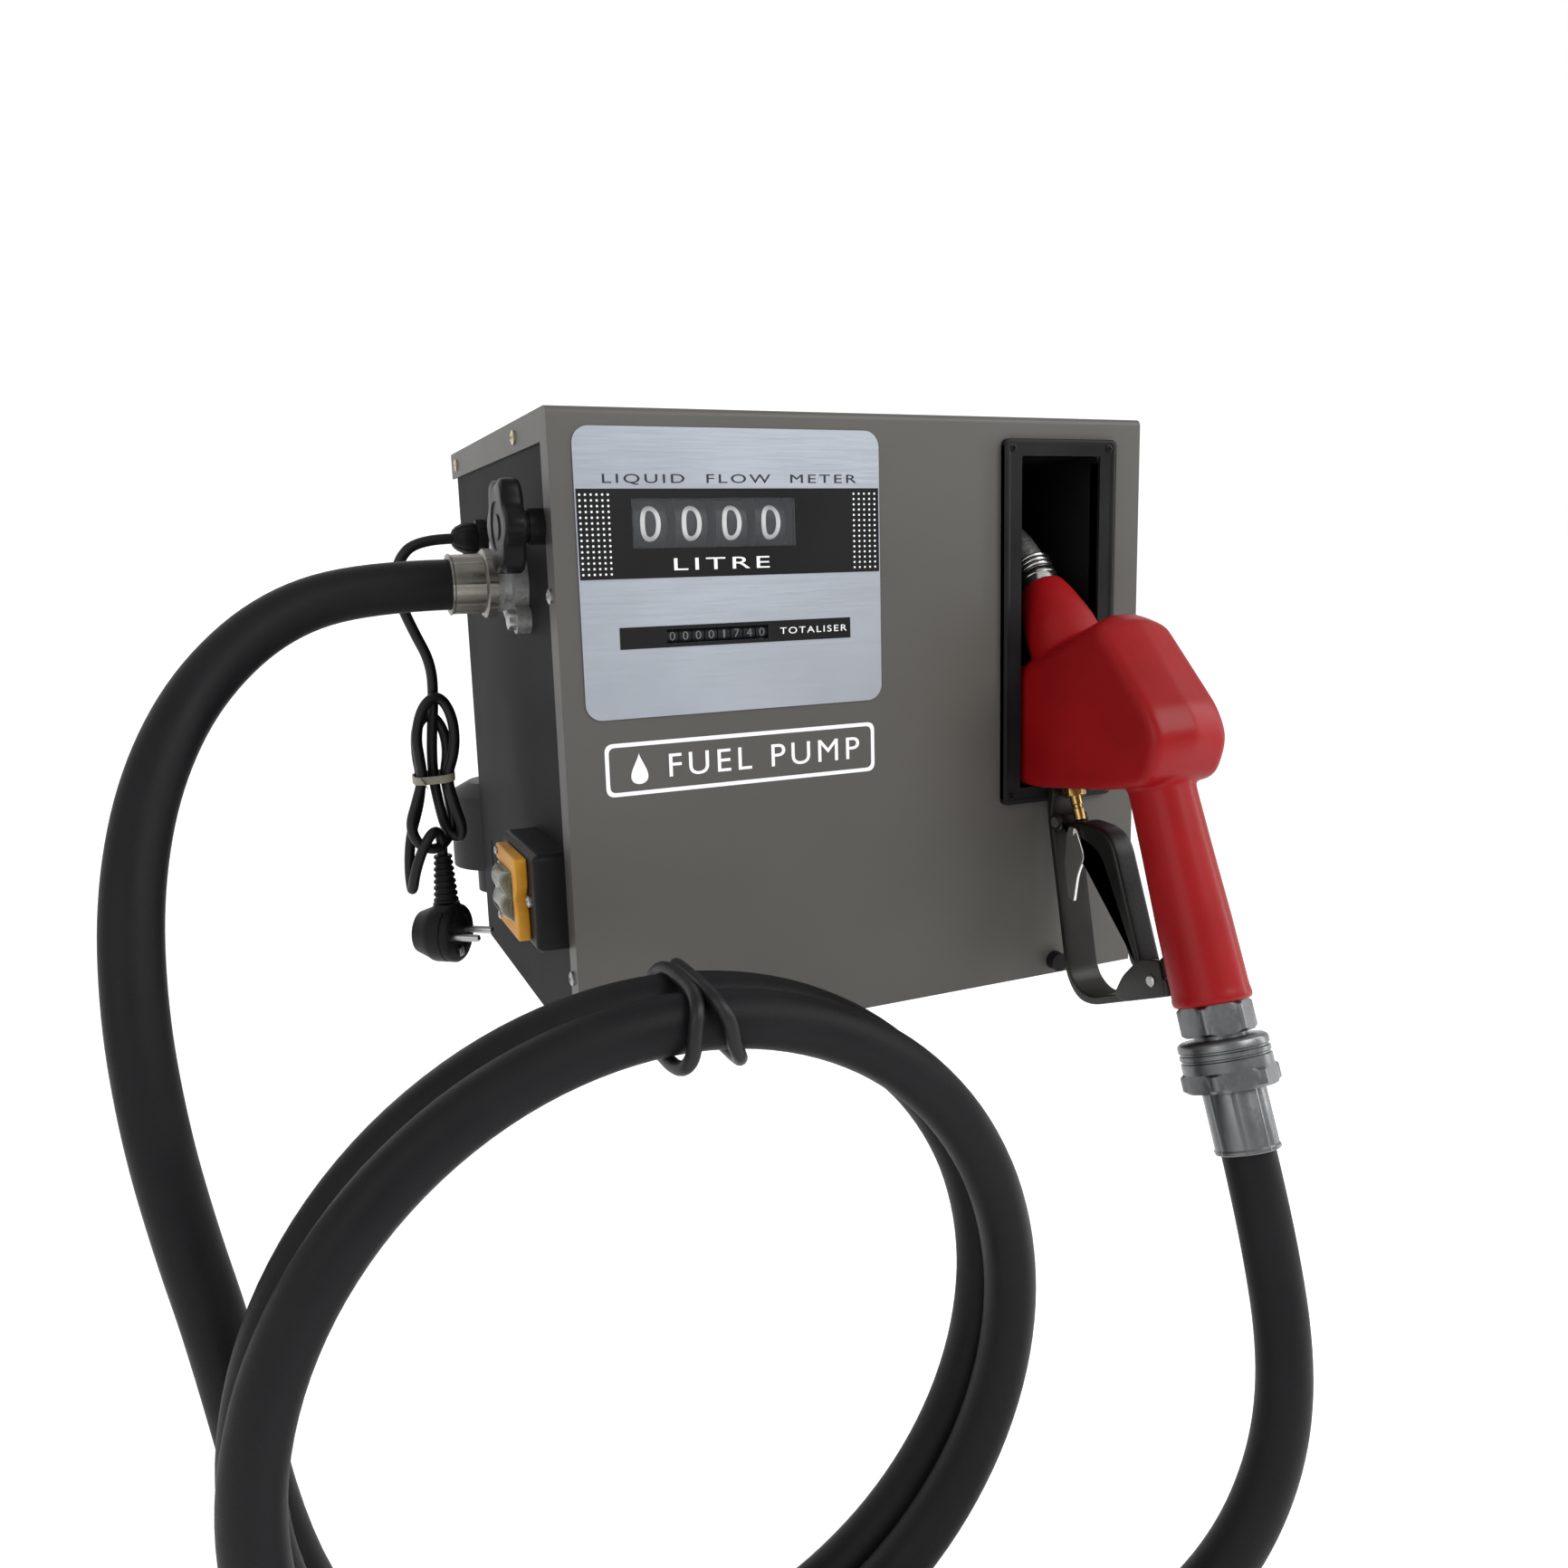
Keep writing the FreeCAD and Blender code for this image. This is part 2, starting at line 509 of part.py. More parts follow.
def totaliser():
    """Small never-reset wheels on a thin axle behind the lower strip, in a cradle on the cover."""
    y = f"({FRONT}+total_radius+1)"
    z = f"({PLATE_TOP}-strip_drop-strip_high/2)"
    step = "(total_wide/total_count)"
    count = int(size("total_count"))
    for number in range(count):
        left = f"{TOTAL_X[0]}+{number}*{step}+total_gap/2"
        name = f"total_wheel_{number + 1}"
        wheel = rod(f"{name}_rim", "x", (left, y, z), "total_radius", f"{step}-total_gap")
        hole = rod(f"{name}_bore", "x", (f"{left}-1", y, z), "total_axle+running_gap", f"{step}+2")
        NODES[name] = cut(name, wheel, hole)
    higher = [NODES.pop(f"total_wheel_{number}") for number in range(1, count)]
    keep("total_units_wheel", NODES.pop(f"total_wheel_{count}"))
    keep("total_wheels", group("total_wheels", *higher))
    ends = (f"{TOTAL_X[0]}-3", f"{TOTAL_X[1]}+3")
    block = box("cradle_block", ends, (f"{FRONT}+sheet_gauge-1.5", f"{FRONT}+2*total_radius+5"),
                (f"{z}-total_radius-2", f"{z}+total_radius+2"))
    room = box("cradle_room", (TOTAL_X[0], TOTAL_X[1]), (f"{FRONT}-1", f"{FRONT}+2*total_radius+3"),
               (f"{z}-total_radius-1", f"{z}+total_radius+1"))
    bore = rod("cradle_bore", "x", (f"{ends[0]}-1", y, z), "total_axle", f"({ends[1]})-({ends[0]})+2")
    cradle = cut("totaliser_cradle", block, room, bore)
    axle = rod("totaliser_axle", "x", (ends[0], y, z), "total_axle", f"({ends[1]})-({ends[0]})")
    return cradle, axle


def reset_knob():
    """The lobed knob that turns the number wheels back to zero, on a shaft in line with them."""
    hub_start = f"{LEFT}-knob_stand"
    disc = rod("knob_disc", "x", (f"{hub_start}-knob_thick", WHEEL_Y, WHEEL_Z), "knob_radius-knob_lobe",
               "knob_thick")
    lobes = []
    for number in range(int(size("knob_lobes"))):
        angle = f"(360deg/knob_lobes*{number})"
        lobes.append(rod(f"knob_lobe_{number}", "x",
                         (f"{hub_start}-knob_thick", f"{WHEEL_Y}+(knob_radius-knob_lobe)*cos{angle}",
                          f"{WHEEL_Z}+(knob_radius-knob_lobe)*sin{angle}"), "knob_lobe", "knob_thick"))
    hub = rod("knob_hub_rod", "x", (hub_start, WHEEL_Y, WHEEL_Z), "knob_hub", "knob_stand-boss_long-0.5")
    frame_left = f"({WHEELS_LEFT}-frame_gap-frame_plate)"
    shaft = rod("knob_shaft", "x", (f"{hub_start}-1", WHEEL_Y, WHEEL_Z), "axle_radius",
                f"{frame_left}-({hub_start}-1)-soft_gap")
    keep("reset_knob", fuse("reset_knob", disc, hub, shaft, *lobes))
    boss = rod("boss_rod", "x", (f"{LEFT}-boss_long", WHEEL_Y, WHEEL_Z), "boss_radius",
               "boss_long+3*sheet_gauge")
    hole = rod("boss_bore", "x", (f"{LEFT}-boss_long-1", WHEEL_Y, WHEEL_Z), "axle_radius+running_gap",
               "boss_long+3*sheet_gauge+2")
    keep("knob_boss", cut("knob_boss", boss, hole))


# ---------------------------------------------------------------- meter and outlet
PORT_Y = f"({FRONT}+port_depth)"
METER_Y = f"({FRONT}+meter_front)"
CHAMBER_Y = PORT_Y


def meter():
    """The measuring chamber: a wobbling disc in a round chamber between two ports."""
    inner_side = f"({LEFT}+2*sheet_gauge)"
    body = rod("meter_drum", "y", ("meter_x", METER_Y, "port_high"), "meter_radius", "meter_long")
    left = rod("meter_left", "x", (inner_side, PORT_Y, "port_high"), "port_radius", f"meter_x-{inner_side}")
    right = rod("meter_right", "x", ("meter_x", PORT_Y, "port_high"), "port_radius", "meter_radius+6")
    chamber = rod("meter_chamber", "y", ("meter_x", f"{CHAMBER_Y}-chamber_half", "port_high"),
                  "chamber_radius", f"meter_long-(port_depth-meter_front)+chamber_half+1")
    bore = rod("meter_bore", "x", (f"{inner_side}-1", PORT_Y, "port_high"), "bore_radius",
               f"meter_x+meter_radius+8-{inner_side}")
    spindle = rod("meter_spindle_bore", "y", ("meter_x", f"{METER_Y}-1", "port_high"),
                  "spindle_radius+running_gap", "meter_long")
    keep("meter_body", cut("meter_body", fuse("meter_solid", body, left, right), chamber, bore, spindle))
    cover_y = f"{METER_Y}+meter_long"
    plate = rod("meter_cover_plate", "y", ("meter_x", cover_y, "port_high"), "meter_radius+meter_lip",
                "meter_cover")
    plug = rod("meter_cover_plug", "y", ("meter_x", f"{CHAMBER_Y}+chamber_half", "port_high"),
               "chamber_radius-0.2", f"{cover_y}-({CHAMBER_Y}+chamber_half)")
    seat = rod("meter_cover_bore", "y", ("meter_x", f"{CHAMBER_Y}+chamber_half-1", "port_high"),
               "spindle_radius+running_gap", "12")
    keep("meter_cover", cut("meter_cover", fuse("meter_cover_solid", plate, plug), seat))
    disc = doc.addObject("Part::Cylinder", "disc_plate")
    disc.Placement.Rotation = FreeCAD.Rotation(V(1, 0, 0), size("disc_tilt") - 90)
    bind(disc, Radius="disc_radius", Height="disc_thick")
    at(disc, "meter_x", f"{CHAMBER_Y}-disc_thick/2*cos(disc_tilt*1deg)",
       "port_high-disc_thick/2*sin(disc_tilt*1deg)")
    ball = doc.addObject("Part::Sphere", "disc_ball")
    bind(ball, Radius="ball_radius")
    at(ball, "meter_x", CHAMBER_Y, "port_high")
    pin = rod("disc_pin", "y", ("meter_x", f"{METER_Y}+2", "port_high"), "spindle_radius",
              f"port_depth-meter_front+chamber_half+7")
    keep("measuring_disc", fuse("measuring_disc", disc, ball, pin))


def outlet():
    """The cast flange on the left side, its two bolts and the hose's crimped ferrule."""
    face = f"({SIDE}-flange_thick)"
    round_plate = rod("flange_round", "x", (face, PORT_Y, "port_high"), "flange_radius", "flange_thick")
    parts, bolts = [round_plate], []
    holes = [rod("flange_through", "x", (f"{face}-1", PORT_Y, "port_high"), "bore_radius", "flange_thick+2")]
    for number, (turn, sign) in enumerate((("215deg", 1), ("35deg", 1))):
        y = f"({PORT_Y}+flange_ear*cos({turn})*0.7)"
        z = f"(port_high+flange_ear*sin({turn})*1.2)"
        parts.append(rod(f"flange_ear_{number}", "x", (face, y, z), "flange_ear_radius", "flange_thick"))
        holes.append(rod(f"flange_hole_{number}", "x", (f"{face}-1", y, z), "flange_bolt", "flange_thick+2"))
        head = hexagon(f"flange_bolt_head_{number}", "x", (f"{face}-flange_bolt_high", y, z),
                       "flange_bolt_head",
                       "flange_bolt_high")
        shank = rod(f"flange_bolt_shank_{number}", "x", (face, y, z), "flange_bolt", "flange_thick")
        bolts.append(fuse(f"flange_bolt_{number}", head, shank))
    neck = rod("flange_neck_rod", "x", (f"{face}-flange_neck+flange_thick", PORT_Y, "port_high"),
               "port_radius-2",
               "flange_neck-flange_thick+1")
    keep("outlet_flange", cut("outlet_flange", fuse("flange_solid", neck, *parts), *holes))
    keep("flange_bolts", group("flange_bolts", *bolts))
    start = f"({LEFT}-ferrule_out)"
    end = f"({face}-flange_neck+flange_thick)"
    sleeve = rod("outlet_sleeve", "x", (start, PORT_Y, "port_high"), "ferrule_radius", f"{end}-{start}")
    collar = hexagon("outlet_collar", "x", (f"{end}-ferrule_collar", PORT_Y, "port_high"), "ferrule_radius+3",
                     "ferrule_collar")
    hole = rod("outlet_bore", "x", (f"{start}-1", PORT_Y, "port_high"), "bore_radius", f"{end}-{start}+2")
    keep("outlet_ferrule", cut("outlet_ferrule", fuse("outlet_solid", sleeve, collar), hole))


# ---------------------------------------------------------------- pump, motor and pipes
SHAFT_Y = f"({FRONT}+shaft_depth)"
MOTOR_LEFT = "(pump_left+pump_long)"


def pump():
    """A sliding-vane pump: an off-centre cavity, a slotted rotor and its vanes."""
    shell = rod("pump_drum", "x", ("pump_left", SHAFT_Y, "shaft_high"), "pump_radius", "pump_long")
    port = rod("pump_outlet", "z", ("pipe_x", SHAFT_Y, "shaft_high"), "pump_port",
               "pump_radius+pump_port_high")
    foot = box("pump_foot", ("pump_left+4", "pump_left+pump_long-4"), (f"{SHAFT_Y}-20", f"{SHAFT_Y}+20"),
               ("sheet_gauge", "shaft_high-pump_radius+6"))
    cavity = rod("pump_cavity", "x", ("pump_left-1", SHAFT_Y, "shaft_high-cavity_shift"), "cavity_radius",
                 "pump_long-pump_wall+1")
    shaft_hole = rod("pump_shaft_hole", "x", ("pump_left", SHAFT_Y, "shaft_high"), "shaft_radius+running_gap",
                     "pump_long+2")
    port_hole = rod("pump_port_hole", "z", ("pipe_x", SHAFT_Y, "shaft_high+cavity_radius-8"), "pipe_bore",
                    "pump_radius")
    keep("pump_body", cut("pump_body", fuse("pump_solid", shell, port, foot), cavity, shaft_hole, port_hole))
    cover = rod("pump_cover_plate", "x", ("pump_left-pump_cover", SHAFT_Y, "shaft_high"), "pump_radius",
                "pump_cover")
    spigot = rod("pump_spigot", "x", ("pump_left-pump_cover-10", SHAFT_Y, "shaft_high"), "pump_port", "10")
    hole = rod("pump_cover_hole", "x", ("pump_left-pump_cover-12", SHAFT_Y, "shaft_high"), "pipe_bore",
               "pump_cover+14")
    keep("pump_cover", cut("pump_cover", fuse("pump_cover_solid", cover, spigot), hole))
    left, wide = "(pump_left+1)", "(pump_long-pump_wall-2)"
    drum = rod("rotor_drum", "x", (left, SHAFT_Y, "shaft_high"), "rotor_radius", wide)
    slots, vanes = [rod("rotor_bore", "x", (f"{left}-1", SHAFT_Y, "shaft_high"), "shaft_radius",
                        "pump_long")], []
    count = int(size("vane_count"))
    for number in range(count):
        for kind, extra, store in (("slot", "2", slots), ("vane", "0", vanes)):
            blade = doc.addObject("Part::Box", f"{kind}_{number}")
            angle = 360 / count * number
            bind(blade, Length=wide, Width="vane_thick", Height=f"vane_long+{extra}")
            blade.Placement.Rotation = FreeCAD.Rotation(V(1, 0, 0), angle)
            reach = "(rotor_radius+vane_proud-vane_long)"
            at(blade, left, f"{SHAFT_Y}-vane_thick/2*cos({angle}deg)-{reach}*sin({angle}deg)",
               f"shaft_high-vane_thick/2*sin({angle}deg)+{reach}*cos({angle}deg)")
            store.append(blade)
    keep("pump_rotor", group("pump_rotor", cut("rotor_slotted", drum, *slots), *vanes))


def motor():
    """A finned induction motor on the pump's shaft, with a fan under its cowl."""
    length = "(motor_long-cowl_long)"
    drum = rod("motor_drum", "x", (MOTOR_LEFT, SHAFT_Y, "shaft_high"), "motor_radius-fin_high", length)
    fins = []
    count = int(size("fin_count"))
    for number in range(count):
        angle = 360 / count * (number + 0.5)
        fin = doc.addObject("Part::Box", f"fin_{number}")
        bind(fin, Length=f"{length}-8", Width="fin_wide", Height="fin_high+2")
        fin.Placement.Rotation = FreeCAD.Rotation(V(1, 0, 0), angle)
        reach = "(motor_radius-fin_high-2)"
        at(fin, f"{MOTOR_LEFT}+4", f"{SHAFT_Y}-fin_wide/2*cos({angle}deg)-{reach}*sin({angle}deg)",
           f"shaft_high-fin_wide/2*sin({angle}deg)+{reach}*cos({angle}deg)")
        fins.append(fin)
    feet = [box(f"motor_foot_{end}", (x, f"{x}+foot_plate"),
                (f"{SHAFT_Y}-foot_wide/2", f"{SHAFT_Y}+foot_wide/2"),
                ("sheet_gauge", "shaft_high-motor_radius+16"))
            for end,
            x in enumerate((f"({MOTOR_LEFT}+foot_inset)", f"({MOTOR_LEFT}+{length}-foot_inset-foot_plate)"))]
    hollow = rod("motor_hollow", "x", (f"{MOTOR_LEFT}+motor_wall", SHAFT_Y, "shaft_high"), "core_radius+4",
                 f"{length}-2*motor_wall")
    bore = rod("motor_bore", "x", (f"{MOTOR_LEFT}-1", SHAFT_Y, "shaft_high"), "shaft_radius+running_gap",
               f"{length}+2")
    keep("motor_housing", cut("motor_housing", fuse("motor_solid", drum, *fins, *feet), hollow, bore))
    end = f"({MOTOR_LEFT}+{length})"
    cap = rod("cowl_drum", "x", (end, SHAFT_Y, "shaft_high"), "motor_radius-1", "cowl_long")
    room = rod("cowl_room", "x", (f"{end}-1", SHAFT_Y, "shaft_high"), "motor_radius-3", "cowl_long-1")
    slots = [box(f"cowl_slot_{k}", (f"{end}+cowl_long-4", f"{end}+cowl_long+2"),
                 (f"{SHAFT_Y}-30", f"{SHAFT_Y}+30"), (f"shaft_high+{12 * k}-3", f"shaft_high+{12 * k}+3"))
             for k in (-2, -1, 0, 1, 2)]
    cowl = cut("fan_cowl", cap, room, *slots)
    shaft_start = "(pump_left+1)"
    shaft = rod("motor_shaft", "x", (shaft_start, SHAFT_Y, "shaft_high"), "shaft_radius",
                f"{end}+cowl_long-8-{shaft_start}")
    core = rod("core_drum", "x", (f"{MOTOR_LEFT}+core_ends", SHAFT_Y, "shaft_high"), "core_radius",
               f"{length}-2*core_ends")
    keep("motor_core", fuse("motor_core", core, shaft))
    fan_start = f"({end}+4)"
    disc = rod("fan_disc", "x", (fan_start, SHAFT_Y, "shaft_high"), "fan_radius", "3")
    blades = []
    for number in range(6):
        angle = 60 * number
        blade = doc.addObject("Part::Box", f"fan_blade_{number}")
        bind(blade, Length="fan_wide", Width="2", Height="fan_radius-12")
        blade.Placement.Rotation = FreeCAD.Rotation(V(1, 0, 0), angle)
        at(blade, fan_start, f"{SHAFT_Y}-cos({angle}deg)-11*sin({angle}deg)",
           f"shaft_high-sin({angle}deg)+11*cos({angle}deg)")
        blades.append(blade)
    hub = rod("fan_hub", "x", (fan_start, SHAFT_Y, "shaft_high"), "13", "fan_wide")
    fan_hole = rod("fan_hole", "x", (f"{fan_start}-1", SHAFT_Y, "shaft_high"), "shaft_radius", "fan_wide+2")
    keep("motor_fan", cut("motor_fan", fuse("fan_solid", disc, hub, *blades), fan_hole))
    terminal = box("terminal_block", (f"{MOTOR_LEFT}+box_left", f"{MOTOR_LEFT}+box_left+box_long"),
                   (f"{SHAFT_Y}-box_deep/2", f"{SHAFT_Y}+box_deep/2"),
                   ("shaft_high+motor_radius-12", "shaft_high+motor_radius+box_high"))
    seat = rod("terminal_seat", "x", (MOTOR_LEFT, SHAFT_Y, "shaft_high"), "motor_radius+soft_gap",
               "motor_long")
    keep("motor_covers", group("motor_covers", cowl, cut("terminal_box", terminal, seat)))


def strainer():
    """The inlet strainer behind the cabinet: a cup with a threaded inlet, a lid and a mesh basket."""
    y = f"({REAR}+strainer_behind)"
    top = "(strainer_low+strainer_high)"
    cup = rod("strainer_cup", "z", ("strainer_x", y, "strainer_low"), "strainer_radius", "strainer_high")
    inlet = rod("strainer_inlet", "z", ("strainer_x", y, "strainer_low-inlet_long"), "inlet_radius",
                "inlet_long+2")
    neck_end = f"({REAR}-sheet_gauge-4)"
    neck = rod("strainer_neck", "y", ("neck_x", neck_end, "shaft_high"), "pipe_radius-1", f"{y}-{neck_end}")
    pad = box("strainer_pad", ("neck_x-30", "neck_x+26"), (REAR, f"{REAR}+10"),
              ("shaft_high-24", "shaft_high+11.5"))
    hollow = rod("strainer_hollow", "z", ("strainer_x", y, "strainer_low+strainer_wall"),
                 "strainer_radius-strainer_wall", "strainer_high")
    bore = rod("strainer_bore", "z", ("strainer_x", y, "strainer_low-inlet_long-1"), "inlet_bore",
               "inlet_long+strainer_wall+2")
    neck_bore = rod("strainer_neck_bore", "y", ("neck_x", f"{neck_end}-1", "shaft_high"), "pipe_bore",
                    f"{y}-{neck_end}-strainer_radius+12")
    body = cut("strainer_body", fuse("strainer_solid", cup, inlet, neck, pad), hollow, bore, neck_bore)
    keep("strainer_housing", body)
    disc = rod("lid_disc", "z", ("strainer_x", y, top), "strainer_radius+1", "lid_high/2")
    dome = cone("lid_dome_cone", "z", ("strainer_x", y, f"{top}+lid_high/2"), "strainer_radius+1",
                "strainer_radius-14", "lid_high")
    lid = fuse("lid_solid", disc, dome)
    basket = rod("basket_drum", "z", ("strainer_x", y, "strainer_low+strainer_wall"), "mesh_radius",
                 "strainer_high-strainer_wall-0.5")
    room = rod("basket_room", "z", ("strainer_x", y, "strainer_low+strainer_wall-1"), "mesh_radius-mesh_wall",
               "strainer_high-strainer_wall-1")
    keep("strainer_lid", group("strainer_lid", lid, cut("strainer_basket", basket, room)))


def pipes():
    """The bent tubes from strainer to pump and from pump to meter."""
    front, rear = -size("cabinet_depth") / 2, size("cabinet_depth") / 2
    shaft_y, shaft_z = front + size("shaft_depth"), size("shaft_high")
    neck_y = rear - size("sheet_gauge") - 4
    radius, bore = size("pipe_radius"), size("pipe_bore")
    corner = V(size("neck_x"), shaft_y, shaft_z)
    suction = [V(size("neck_x"), neck_y, shaft_z), corner,
               V(size("pump_left") - size("pump_cover") - 10, shaft_y, shaft_z)]
    port_y, port_z, x = front + size("port_depth"), size("port_high"), size("pipe_x")
    start_z = shaft_z + size("pump_radius") + size("pump_port_high")
    delivery = [V(x, shaft_y, start_z), V(x, shaft_y, port_z), V(x, port_y, port_z),
                V(size("meter_x") + size("meter_radius") + 6, port_y, port_z)]
    tubes = [tube("suction_pipe", suction, radius, bore), tube("delivery_pipe", delivery, radius, bore)]
    shaped("fuel_pipes", Part.makeCompound(tubes))


# ---------------------------------------------------------------- switch and gland
def switch():
    """The switch box on the left side: box, bezel, rocker, soft cover and two screws."""
    y0, z0 = f"({FRONT}+switch_depth)", "switch_low"
    face = f"({SIDE}-switch_out)"

    def outer_edge(edge):
        outside = -size("cabinet_width") / 2 + size("sheet_gauge") - size("switch_out")
        return abs(edge.CenterOfMass.x - outside) < 0.1 or runs_along("x")(edge)

    shell = padded_outline("switch_shell", "YZ",
                           rectangle((y0, f"{y0}+switch_deep"), (z0, f"{z0}+switch_high")),
                           face, SIDE, [("switch_round", outer_edge)])
    by, bz = f"({y0}+bezel_in)", "(switch_low+bezel_low)"
    window_y = (f"{by}+bezel_bar", f"{by}+bezel_deep-bezel_bar")
    window_z = (f"{bz}+bezel_bar", f"{bz}+bezel_high-bezel_bar")
    well = box("switch_well_room", (f"{face}-1", f"{SIDE}-2"), window_y, window_z)
    pin_y, pin_z = f"({by}+bezel_deep/2)", f"({bz}+bezel_high/2)"
    pin_x = f"({face}+2)"
    pins = rod("rocker_pin_room", "y", (pin_x, f"{window_y[0]}-2", pin_z), "rocker_pin+running_gap",
               f"({window_y[1]})-({window_y[0]})+4")
    keep("switch_box", cut("switch_box", shell, well, pins))
    plate = box("bezel_plate", (f"{face}-bezel_out", face), (by, f"{by}+bezel_deep"),
                (bz, f"{bz}+bezel_high"))
    opening = box("bezel_opening", (f"{face}-bezel_out-1", f"{face}+1"), window_y, window_z)
    keep("switch_bezel", cut("switch_bezel", plate, opening))
    rocker_y = (f"{window_y[0]}+rocker_gap", f"{window_y[1]}-rocker_gap")
    block = box("rocker_block", (f"{face}-rocker_out+1", f"{pin_x}+3"), rocker_y,
                (f"{pin_z}-rocker_high/2+3", f"{pin_z}+rocker_high/2-3"))
    axle = rod("rocker_axle", "y", (pin_x, f"{window_y[0]}-1.5", pin_z), "rocker_pin",
               f"({window_y[1]})-({window_y[0]})+3")
    keep("switch_rocker", fuse("switch_rocker", block, axle))
    outer = box("cover_outer", (f"{face}-bezel_out-cover_out+3", f"{face}-bezel_out"),
                (f"{window_y[0]}-3", f"{window_y[1]}+3"), (f"{window_z[0]}-3", f"{window_z[1]}+3"))
    inner = box("cover_inner", (f"{face}-bezel_out-cover_out+3+cover_gauge", f"{face}-bezel_out+1"),
                (f"{window_y[0]}-3+cover_gauge", f"{window_y[1]}+3-cover_gauge"),
                (f"{window_z[0]}-3+cover_gauge", f"{window_z[1]}+3-cover_gauge"))
    keep("switch_cover", cut("switch_cover", outer, inner))
    screws = []
    inset = "(bezel_screw+1.6)"
    for number, z in enumerate((f"{bz}+{inset}", f"{bz}+bezel_high-{inset}")):
        screws.append(rod(f"bezel_screw_{number}", "x", (f"{face}-bezel_out-2", f"{by}+bezel_deep-{inset}", z),
                          "bezel_screw", "2"))
    return screws


GLAND_Y = f"({FRONT}+gland_depth)"


def gland():
    """The plastic cable gland that the mains lead comes out of."""
    body = hexagon("gland_hex_bar", "x", (f"{SIDE}-gland_hex_long", GLAND_Y, "gland_high"), "gland_hex",
                   "gland_hex_long")
    thread = rod("gland_thread", "x", (SIDE, GLAND_Y, "gland_high"), "cord_bore+3", "sheet_gauge+6")
    hole = rod("gland_body_hole", "x", (f"{SIDE}-gland_hex_long-1", GLAND_Y, "gland_high"), "cord_bore", "40")
    body = cut("gland_body", fuse("gland_solid", body, thread), hole)
    start = f"({SIDE}-gland_hex_long-gland_nut_long)"
    nut = rod("gland_nut_rod", "x", (f"{start}+6", GLAND_Y, "gland_high"), "gland_nut", "gland_nut_long-6")
    dome = cone("gland_dome", "x", (start, GLAND_Y, "gland_high"), "gland_nut-4", "gland_nut", "6")
    nut_hole = rod("gland_nut_hole", "x", (f"{start}+2", GLAND_Y, "gland_high"), "cord_bore", "40")
    keep("cable_gland",
         group("cable_gland", body, cut("gland_nut", fuse("gland_nut_solid", nut, dome), nut_hole)))


# ---------------------------------------------------------------- holster
def holster():
    """The moulded cup that the nozzle hangs in, with a flange on the front of the cabinet."""
    flange_outline = rectangle(HOLSTER_X, HOLSTER_Z)
    flange = padded_outline("holster_flange", "XZ", flange_outline, f"{FRONT}-holster_out", FRONT,
                            [("holster_corner", runs_along("y"))])
    deep = f"{FRONT}+holster_deep"
    cup = box("holster_cup_block", (f"{POCKET_X[0]}-holster_wall", f"{POCKET_X[1]}+holster_wall"),
              (f"{FRONT}-1", f"{deep}+holster_wall"),
              (f"{POCKET_Z[0]}-holster_wall", f"{POCKET_Z[1]}+holster_wall"))
    pocket = box("holster_pocket", POCKET_X, (f"{FRONT}-holster_out-1", deep), POCKET_Z)
    keep("holster", cut("holster", fuse("holster_solid", flange, cup), pocket))
    keep("bumper",
         rod("bumper", "y", ("nozzle_x", f"{FRONT}-bumper_out", "bumper_high"), "bumper_radius",
             "bumper_out"))


# ---------------------------------------------------------------- nozzle
def on_nozzle(item):
    """Move a piece from the upright nozzle frame to where the nozzle hangs."""
    item.Placement = FreeCAD.Placement(V(0, 0, 0), FreeCAD.Rotation(V(1, 0, 0), -size("grip_lean")))
    return at(item, "nozzle_x", f"{FRONT}-grip_out", "grip_high")


def along_cone(item):
    """Stand an upright piece on the cone's leaning axis, inside the nozzle frame."""
    item.Placement = FreeCAD.Placement(V(0, 0, 0), FreeCAD.Rotation(V(1, 0, 0), -size("cone_lean")))
    return at(item, "0", "cone_y", "cone_z")


HEAD = [
    ("head_front_top", "head_top"), ("head_front", "heel_top"), ("head_front", "heel_low"),
    ("-grip_top_radius+1", "heel_end"), ("belly_rear", "belly_low"), ("chin_y", "chin_z"),
    ("toe_y", "toe_z"), ("nape_y", "nape_z"), ("crown_y", "head_top"),
]


